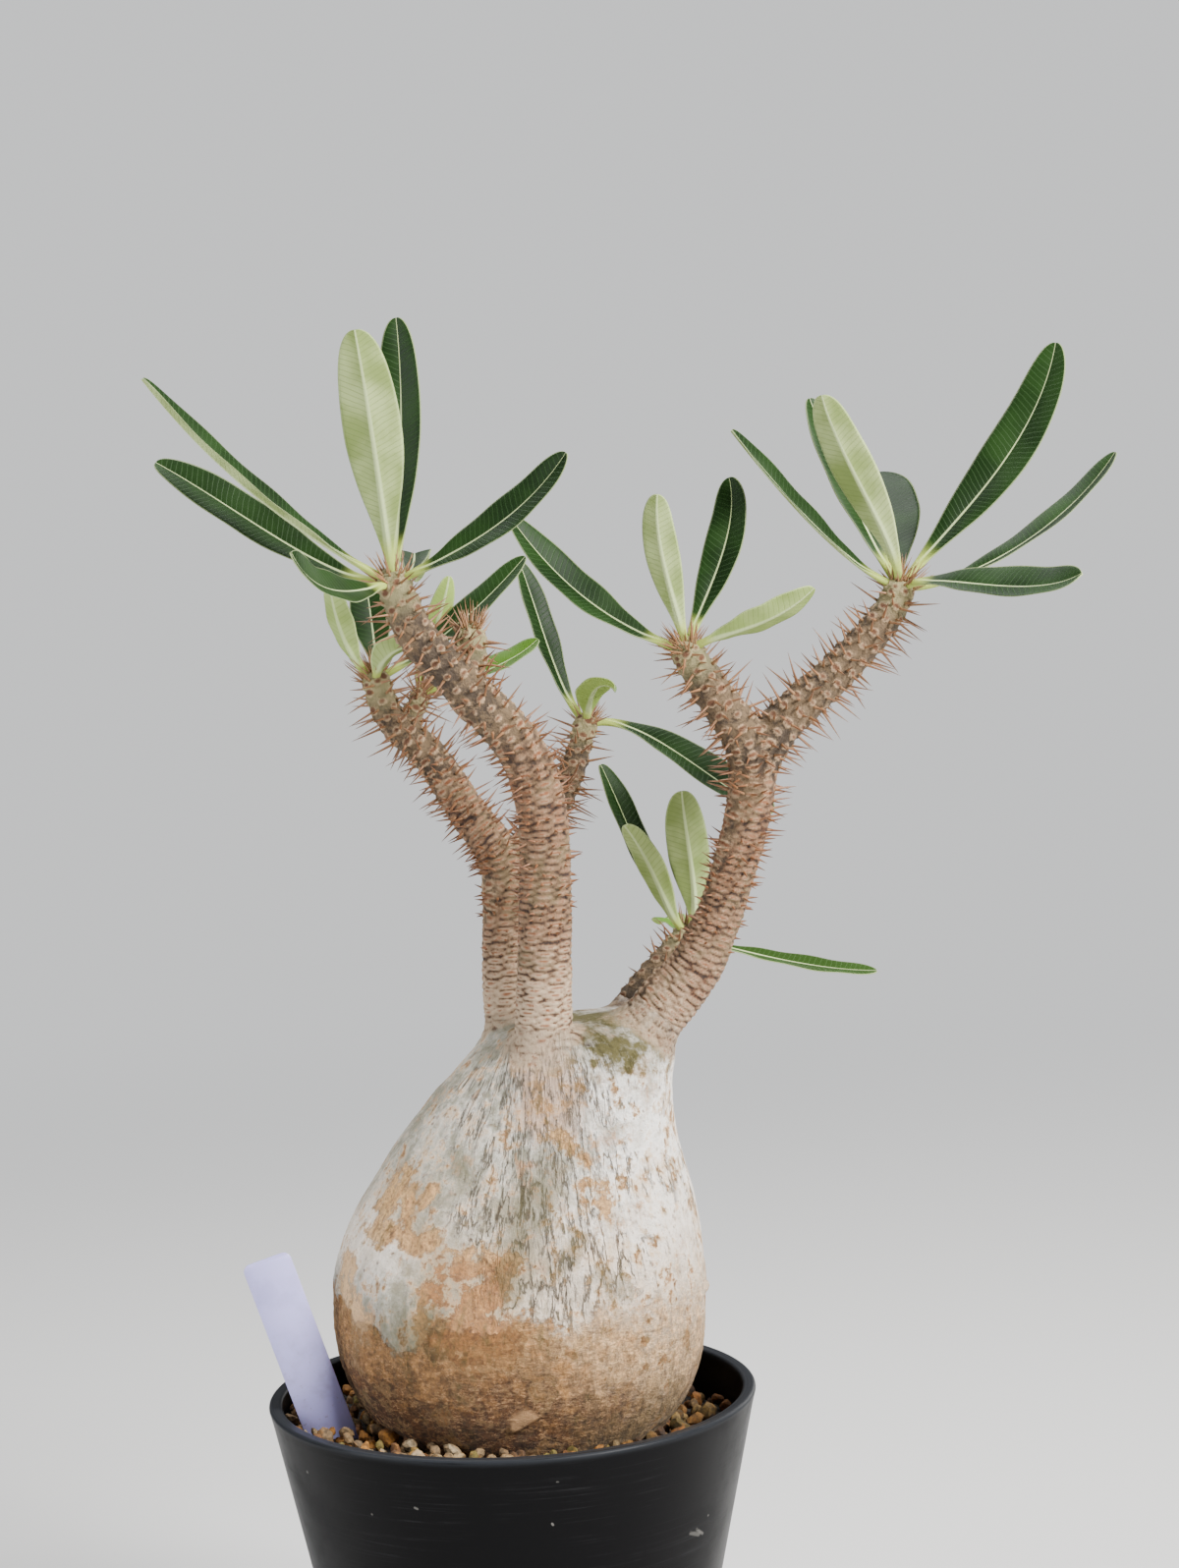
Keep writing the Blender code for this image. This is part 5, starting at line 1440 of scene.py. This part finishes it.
spine_tree, given, result = geometry_tree(
    "spines", [("Spine", "Object"), ("Seed", "Int"), ("Material", "Material")])
one = fed("GeometryNodeObjectInfo", {"Object": given["Spine"], "As Instance": True}).outputs["Geometry"]
aimed = fed("FunctionNodeAlignRotationToVector", {"Vector": named(spine_tree, "aim", "FLOAT_VECTOR")},
            axis="Z").outputs[0]
spin = fed("FunctionNodeRandomValue",
           {"Min": (0.0, 0.0, 0.0), "Max": (0.0, 0.0, math.tau), "Seed": given["Seed"]},
           data_type="FLOAT_VECTOR").outputs[0]
spin = fed("FunctionNodeEulerToRotation", {0: spin}).outputs[0]
aimed = fed("FunctionNodeRotateRotation", {"Rotation": aimed, "Rotate By": spin},
            rotation_space="LOCAL").outputs[0]
placed = fed("GeometryNodeInstanceOnPoints",
             {"Points": given["Geometry"], "Instance": one, "Rotation": aimed,
              "Scale": named(spine_tree, "size", "FLOAT_VECTOR")}).outputs[0]
finish_tree(placed, given, result)

spine_material, shader, where = new_material("spine horn", 0.5)
up_spine = read_value(where, "up_spine")
dress(shader, layered(SPINE_TAN, (between(up_spine, 0.0, 0.35), 1.0, SPINE_RUST),
                      (between(up_spine, 0.3, 1.0), 1.0, SPINE_BROWN),
                      (read_value(where, "tint"), 1.0, SPINE_TAN)))

leaf_guard = []
for curve, width in leaf_curves:
    for share in np.linspace(0, 1, 30):
        s = 1 - share
        point = (curve[0] * s ** 3 + curve[1] * 3 * s * s * share
                 + curve[2] * 3 * s * share ** 2 + curve[3] * share ** 3)
        leaf_guard.append((*point, SPINE_CLEARANCE + width / 2 * min(1.0, 0.18 + share * 1.3)))
leaf_guard = np.array(leaf_guard)
growing_ends = {(stem, branch) for stem, branch, _ in GROWING_TIPS.values()} | {LEAFLESS_TIP}
shortest, longest = SPINE_LENGTHS


def way_out(path, row, turn):
    """The way out from a branch at one of its rows, at an angle round it."""
    return math.cos(turn) * path["sides"][row] + math.sin(turn) * path["ups"][row]


for name, branches in paths.items():
    draw = random.Random(len(name) * 7)
    planted = []
    for number, (path, lattice) in enumerate(zip(branches, lattices[name])):
        length = path["far"][-1]
        first = SPINES_START[name] if number == 0 else BRANCH_SPINES_START
        for i in range(int(lattice["index"][-1]) + 1):
            along = float(np.interp(i, lattice["index"], path["far"]))
            if along < first:
                continue
            row = min(len(path["far"]) - 1, int(along / PATH_STEP))
            grown_share = min(1.0, 0.1 + 1.15 * (along - first) / max(20.0, length - first))
            if number > 0:
                grown_share = min(1.0, 0.6 + grown_share)
            if draw.random() > 0.3 + 0.6 * grown_share:
                continue
            age = float(lattice["age"][row])
            for hand in (-1, 1):
                turn = phases[name] + number + LEAF_TURN * i + hand * 1.25 / path["radii"][row]
                outward, tangent = way_out(path, row, turn), path["ahead"][row]
                tilt = math.radians(draw.uniform(-14, 26))
                aim = outward * math.cos(tilt) + tangent * math.sin(tilt)
                aim += np.cross(tangent, outward) * hand * draw.uniform(0.05, 0.4)
                aim /= np.linalg.norm(aim)
                size = shortest + (longest - shortest) * grown_share * draw.uniform(0.45, 1.0)
                if draw.random() < 0.12:
                    size *= draw.uniform(0.3, 0.7)
                foot = path["middles"][row] + outward * (path["radii"][row] - SPINE_SUNK)
                tries = foot + np.linspace(0.15, 1, 6)[:, None] * aim * size
                gaps = np.linalg.norm(tries[:, None, :] - leaf_guard[None, :, :3], axis=2)
                inside = any((np.linalg.norm(tries[:, None, :] - other["middles"][None], axis=2)
                              < other["radii"][None]).any() for other in branches if other is not path)
                if (gaps < leaf_guard[None, :, 3]).any() or inside:
                    continue
                thick = SPINE_BASE_RADIUS * draw.uniform(0.85, 1.15) * MM
                planted.append((foot, aim, (thick, thick, size * MM), draw.uniform(0.0, 0.25) + 0.2 * age))
        if (name, number) not in growing_ends:
            continue
        ahead = path["ahead"][-1]
        thick = YOUNG_SPINE_RADIUS * MM
        for i in range(YOUNG_SPINES):
            rise = math.radians(draw.uniform(8, 72))
            aim = way_out(path, -1, LEAF_TURN * i) * math.cos(rise) + ahead * math.sin(rise)
            foot = path["middles"][-1] + aim * (path["radii"][-1] - SPINE_SUNK)
            lean = aim + ahead * 0.5 + np.array([draw.uniform(-0.3, 0.3) for _ in range(3)])
            lean /= np.linalg.norm(lean)
            size = draw.uniform(*YOUNG_SPINE_LENGTHS)
            planted.append((foot, lean, (thick, thick, size * MM), draw.uniform(0.35, 0.9)))
    if not planted:
        continue
    feet, aims, sizes, tints = zip(*planted)
    spine_feet = bpy.data.meshes.new("spine feet")
    spine_feet.from_pydata([Vector(p) * MM for p in feet], [], [])
    set_values(spine_feet, aim=aims, size=sizes, tint=tints)
    spines = grown(name + "_spines", spine_feet, spine_tree,
                   {"Spine": one_spine, "Seed": 5}, spine_material)
    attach(spines, "root")
    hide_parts(name)
bpy.data.objects.remove(one_spine, do_unlink=True)

# Label
# A strip of lilac-white polystyrene with rounded top corners and a pointed foot, pushed into the grit
# beside the plant. It is bare: handling has left it smudged, and the grit has stained its lower half,
# which is also painted darker towards the grit as painted shade.
LABEL_WIDTH = 15.0
LABEL_LENGTH = 94.0
LABEL_POINT = 12.0
LABEL_THICKNESS = 0.6
LABEL_CORNER = 2.4
LABEL_BEVEL = 0.12
LABEL_FOOT_HALF = 1.5
LABEL_TOP = Vector((-73.0, -15.0, 167.8))
LABEL_DOWN = Vector((16.8, 0.0, -52.9)).normalized()
LABEL_ROWS = 60
LABEL_BOW = 0.35
LABEL_WHITE = (0.42, 0.405, 0.74)
# A darker lilac, used for painted shade low down and for the smudges.
LABEL_SHADE_AND_SMUDGE = (0.26, 0.25, 0.48)
LABEL_DIRT = (0.20, 0.17, 0.17)

label_across = Vector((0, 1, 0)).cross(LABEL_DOWN).normalized()
label_front = label_across.cross(LABEL_DOWN).normalized()
label_frame = Matrix((label_across, -LABEL_DOWN, label_front)).transposed()


def label_half_width(down):
    """Half the strip's width at a distance below its top."""
    half = LABEL_WIDTH / 2
    if down < LABEL_CORNER:
        return half - LABEL_CORNER + math.sqrt(LABEL_CORNER ** 2 - (LABEL_CORNER - down) ** 2)
    if down > LABEL_LENGTH - LABEL_POINT:
        return LABEL_FOOT_HALF + (half - LABEL_FOOT_HALF) * (LABEL_LENGTH - down) / LABEL_POINT
    return half


label_steps = [LABEL_CORNER * (1 - math.cos(math.pi / 2 * i / 8)) for i in range(8)]
label_steps += [LABEL_CORNER + (LABEL_LENGTH - LABEL_CORNER) * i / LABEL_ROWS
                for i in range(LABEL_ROWS + 1)]
label_rings = []
thick, edge = LABEL_THICKNESS / 2, LABEL_BEVEL
for down in label_steps:
    half = label_half_width(max(0.02, down))
    bow = LABEL_BOW * math.sin(math.pi * down / LABEL_LENGTH)
    corners = ((-half, -thick + edge), (-half, thick - edge), (-half + edge, thick), (half - edge, thick),
               (half, thick - edge), (half, -thick + edge), (half - edge, -thick), (-half + edge, -thick))
    label_rings.append([LABEL_TOP + label_frame @ Vector((x, -down, z - bow)) for x, z in corners])

label_material, shader, where = new_material("lilac polystyrene", 0.36, Subsurface_Weight=0.08,
                                             Subsurface_Scale=0.002)
smudge = blotched(where, 90.0, 0.57, 0.1, 5.0)
speck = blotched(where, 900.0, 0.66, 0.05, 1.0)
# Towards the grit the strip is painted a darker lilac, which is painted shade, and stained.
low_shade_and_stain = between(split(where)["Z"], 0.15, 0.112)
stain = times(plus(times(smudge, 0.6), speck), low_shade_and_stain)
colour = layered(LABEL_WHITE, (smudge, 0.35, LABEL_SHADE_AND_SMUDGE), (low_shade_and_stain, 0.45, LABEL_SHADE_AND_SMUDGE),
                 (stain, 0.6, LABEL_DIRT), (speck, 0.25, LABEL_DIRT))
dress(shader, colour, plus(0.3, times(smudge, 0.2)), mottle(where, 1500.0, 2.0, 0.5), 0.12, 0.0001)

label = add_piece("plant_label", mesh_in_mm("plant label", *skinned(label_rings)), label_material)
label.data.shade_smooth()
label.data.set_sharp_from_angle(angle=math.radians(50))
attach(label, "root")
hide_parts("label")

# Grit
# Pumice, fired clay and lava grains of 4 to 8 mm fill the pot to just under its lip, higher at the
# front left. Below the loose grains on top, the filling is one dark bed with a pocket for the root,
# its darkness painted shade in the gaps between the grains.
GRIT_LEVEL = 111.5
GRIT_SLOPE_X = -0.045
GRIT_SLOPE_Y = -0.035
BED_DEPTH = 3.2
BED_SIDES = 96
BED_CLEARANCE = 0.5
# Each ring's height or none for the sloped top, its share at the pot's wall, not at the root, how far
# it is drawn in from the wall, and its gap round the root
BED_RINGS = [
    (POT_FLOOR + 0.3, 1.0, -3.0, 1.0), (POT_FLOOR + 3.3, 1.0, 0.0, 1.0), (None, 1.0, 0.0, 1.0),
    (None, 0.5, 0.0, 1.0), (None, 0.0, 0.0, 0.6), (104, 0.0, 0.0, 0.6), (90, 0.0, 0.0, 0.6),
    (75, 0.0, 0.0, 0.6), (61.5, 0.0, 0.0, 0.6),
]
BED_SHADED = (0.030, 0.017, 0.006)
BED_DEEP = (0.006, 0.0035, 0.002)
GRAIN_SHADE = (0.17, 0.145, 0.105)
GRAIN_BRIGHT = (0.70, 0.61, 0.46)
GRAIN_RUST = (0.30, 0.135, 0.030)
GRAIN_PORE = (0.06, 0.034, 0.015)
GRAIN_SHADOWED = (0.48, 0.40, 0.19)
GRAIN_SPACING = 4.9
GRAIN_RADIUS = (2.1, 4.5)
GRAIN_LAYERS = ((-2.6, 11), (-0.2, 12))
GRAIN_TRIES = 9000
GRAIN_SHAPES = 7
GRAIN_SHAPE_SEED = 4
GRAIN_TONE_SEED = 21
GRAIN_COLOURS = [
    (0.0, (0.46, 0.37, 0.24)), (0.13, (0.30, 0.22, 0.14)), (0.27, (0.52, 0.25, 0.045)),
    (0.42, (0.22, 0.10, 0.030)), (0.54, (0.42, 0.31, 0.19)), (0.66, (0.13, 0.070, 0.030)),
    (0.76, (0.50, 0.30, 0.075)), (0.86, (0.25, 0.215, 0.050)), (0.94, (0.62, 0.54, 0.42)),
]


def grit_height(x, y):
    return GRIT_LEVEL + GRIT_SLOPE_X * x + GRIT_SLOPE_Y * y


def root_outline(height):
    """Centre and half widths of the caudex where it stands in the grit."""
    left, right, front, back = caudex_outline(max(height, CAUDEX_SECTIONS[0][0]))
    return (left + right) / 2, (front + back) / 2, (right - left) / 2, (back - front) / 2


bed_rings = []
for height, at_wall, drawn_in, gap in BED_RINGS:
    level = height or GRIT_LEVEL - BED_DEPTH
    radius = pot_inner_radius(level) - BED_CLEARANCE + drawn_in
    cx, cy, half_x, half_y = root_outline(level)
    ring = []
    for k in range(BED_SIDES):
        along_x, along_y = math.cos(math.tau * k / BED_SIDES), math.sin(math.tau * k / BED_SIDES)
        x = at_wall * (radius * along_x) + (1 - at_wall) * (cx + (half_x + gap) * along_x)
        y = at_wall * (radius * along_y) + (1 - at_wall) * (cy + (half_y + gap) * along_y)
        ring.append((x, y, height or grit_height(x, y) - BED_DEPTH))
    bed_rings.append(ring)

# The bed's near-black shows through the gaps between the grains: painted shade.
bed_material, shader, where = new_material("damp grit", 0.9)
clods = cells(where, 320.0)
dress(shader, blended(between(clods, 0.1, 0.5), BED_SHADED, BED_DEEP), None, clods, 0.8, 0.001, invert=True)
bed = add_piece("grit_bed", mesh_in_mm("grit bed", *skinned(bed_rings)), bed_material)
bed.data.shade_smooth()
bed.data.set_sharp_from_angle(angle=math.radians(30))
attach(bed, "root")
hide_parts("grit")

grain_material, shader, where = new_material("loose grit", 0.86)
ramp = fed("ShaderNodeValToRGB", {"Fac": read_value(where, "tone")})
ramp.color_ramp.interpolation = "CONSTANT"
for at, grain_colour in GRAIN_COLOURS[1:]:
    ramp.color_ramp.elements.new(at)
while len(ramp.color_ramp.elements) > len(GRAIN_COLOURS):
    ramp.color_ramp.elements.remove(ramp.color_ramp.elements[-1])
for element, (at, grain_colour) in zip(ramp.color_ramp.elements, GRAIN_COLOURS):
    element.position = at
    element.color = (*grain_colour, 1.0)
speckle = mottle(where, 700.0, 5.0, 0.7)
pores = blotched(where, 1500.0, 0.64, 0.04, 2.0)
stained = blotched(where, 330.0, 0.58, 0.08, 7.0)
# The grains are painted darker to the right: painted shade beside the caudex.
painted_shade = between(split(where)["X"], 0.01, 0.045)
colour = blended(between(speckle, 0.3, 0.75), GRAIN_SHADE, GRAIN_BRIGHT)
colour = blended(1.0, ramp.outputs[0], colour, "MULTIPLY")
colour = layered(colour, (stained, 0.5, GRAIN_RUST), (pores, 0.6, GRAIN_PORE))
colour = blended(1.0, colour, blended(painted_shade, (1.0, 1.0, 1.0), GRAIN_SHADOWED), "MULTIPLY")
dress(shader, colour, None, minus(speckle, times(pores, 0.5)), 0.7, 0.0006)

grain_shapes = bpy.data.collections.new("grain shapes")
draw = random.Random(GRAIN_SHAPE_SEED)
for i in range(GRAIN_SHAPES):
    build = bmesh.new()
    bmesh.ops.create_icosphere(build, subdivisions=2, radius=1.0)
    offset = Vector((draw.random(), draw.random(), draw.random())) * 50
    squash = Vector((1.0, draw.uniform(0.75, 0.95), draw.uniform(0.6, 0.85)))
    facets = [Vector((draw.gauss(0, 1), draw.gauss(0, 1), draw.gauss(0, 1))).normalized() for _ in range(9)]
    for vert in build.verts:
        way = vert.co.normalized()
        reach = 1.0 + 0.24 * noise.noise(way * 1.4 + offset) + 0.08 * noise.noise(way * 4.0 + offset)
        for facet in facets:
            reach = min(reach, 0.68 / max(0.01, way.dot(facet)))
        vert.co = Vector(a * b for a, b in zip(way * reach, squash))
    grain_mesh = built(build, "grain")
    grain_mesh.shade_smooth()
    grain_mesh.set_sharp_from_angle(angle=math.radians(24))
    grain_shapes.objects.link(bpy.data.objects.new(f"grain {i}", grain_mesh))


def scattered_grains():
    """Middles and radii of the grains on top, drawn at random and kept apart, clear of pot and caudex."""
    middles = []
    for drop, seed in GRAIN_LAYERS:
        draw = random.Random(seed)
        layer = []
        for _ in range(GRAIN_TRIES):
            angle, out = draw.uniform(0, math.tau), POT_RIM_RADIUS * math.sqrt(draw.random())
            x, y = out * math.cos(angle), out * math.sin(angle)
            radius = GRAIN_RADIUS[0] + (GRAIN_RADIUS[1] - GRAIN_RADIUS[0]) * draw.random() ** 1.5
            level = grit_height(x, y) + drop
            if out > pot_inner_radius(level) - radius * 0.9:
                continue
            cx, cy, half_x, half_y = root_outline(level)
            if ((x - cx) / (half_x + radius * 0.35)) ** 2 + ((y - cy) / (half_y + radius * 0.35)) ** 2 < 1:
                continue
            along = (Vector((x, y, level)) - LABEL_TOP).dot(label_across)
            from_label = (Vector((x, y, level)) - LABEL_TOP).dot(label_front)
            if abs(along) < LABEL_WIDTH / 2 and abs(from_label) < radius * 0.8:
                continue
            spacing = GRAIN_SPACING * (radius / 2.6) ** 0.5
            if any((x - p.x) ** 2 + (y - p.y) ** 2 < (spacing * (r / 2.6) ** 0.5) ** 2 for p, r in layer):
                continue
            layer.append((Vector((x, y, level + draw.uniform(-0.9, 0.7))), radius))
        middles += layer
    return middles


grain_tree, given, result = geometry_tree(
    "grains", [("Shapes", "Collection"), ("Seed", "Int"), ("Material", "Material")])
shapes = fed("GeometryNodeCollectionInfo", {"Collection": given["Shapes"], "Separate Children": True,
                                            "Reset Children": True}).outputs[0]
turn = fed("FunctionNodeRandomValue", {"Max": (math.tau, math.tau, math.tau), "Seed": given["Seed"]},
           data_type="FLOAT_VECTOR").outputs[0]
pick = fed("FunctionNodeRandomValue", {4: 0, 5: GRAIN_SHAPES - 1, "Seed": given["Seed"]},
           data_type="INT").outputs[2]
turn = fed("FunctionNodeEulerToRotation", {0: turn}).outputs[0]
placed = fed("GeometryNodeInstanceOnPoints",
             {"Points": given["Geometry"], "Instance": shapes, "Pick Instance": True,
              "Instance Index": pick, "Rotation": turn,
              "Scale": named(grain_tree, "radius")}).outputs[0]
finish_tree(placed, given, result)

grains = scattered_grains()
draw = random.Random(GRAIN_TONE_SEED)
grain_points = bpy.data.meshes.new("grain points")
grain_points.from_pydata([middle * MM for middle, _ in grains], [], [])
set_values(grain_points, radius=[radius * MM for _, radius in grains], tone=[draw.random() for _ in grains])
loose_grains = grown("grit_grains", grain_points, grain_tree,
                     {"Shapes": grain_shapes, "Seed": 3}, grain_material)
for used in list(grain_shapes.objects):
    bpy.data.objects.remove(used, do_unlink=True)
bpy.data.collections.remove(grain_shapes)
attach(loose_grains, "root")
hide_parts("grit")

for half in (solid_box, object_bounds()):
    print([round(v, 4) for corner in half for v in corner])
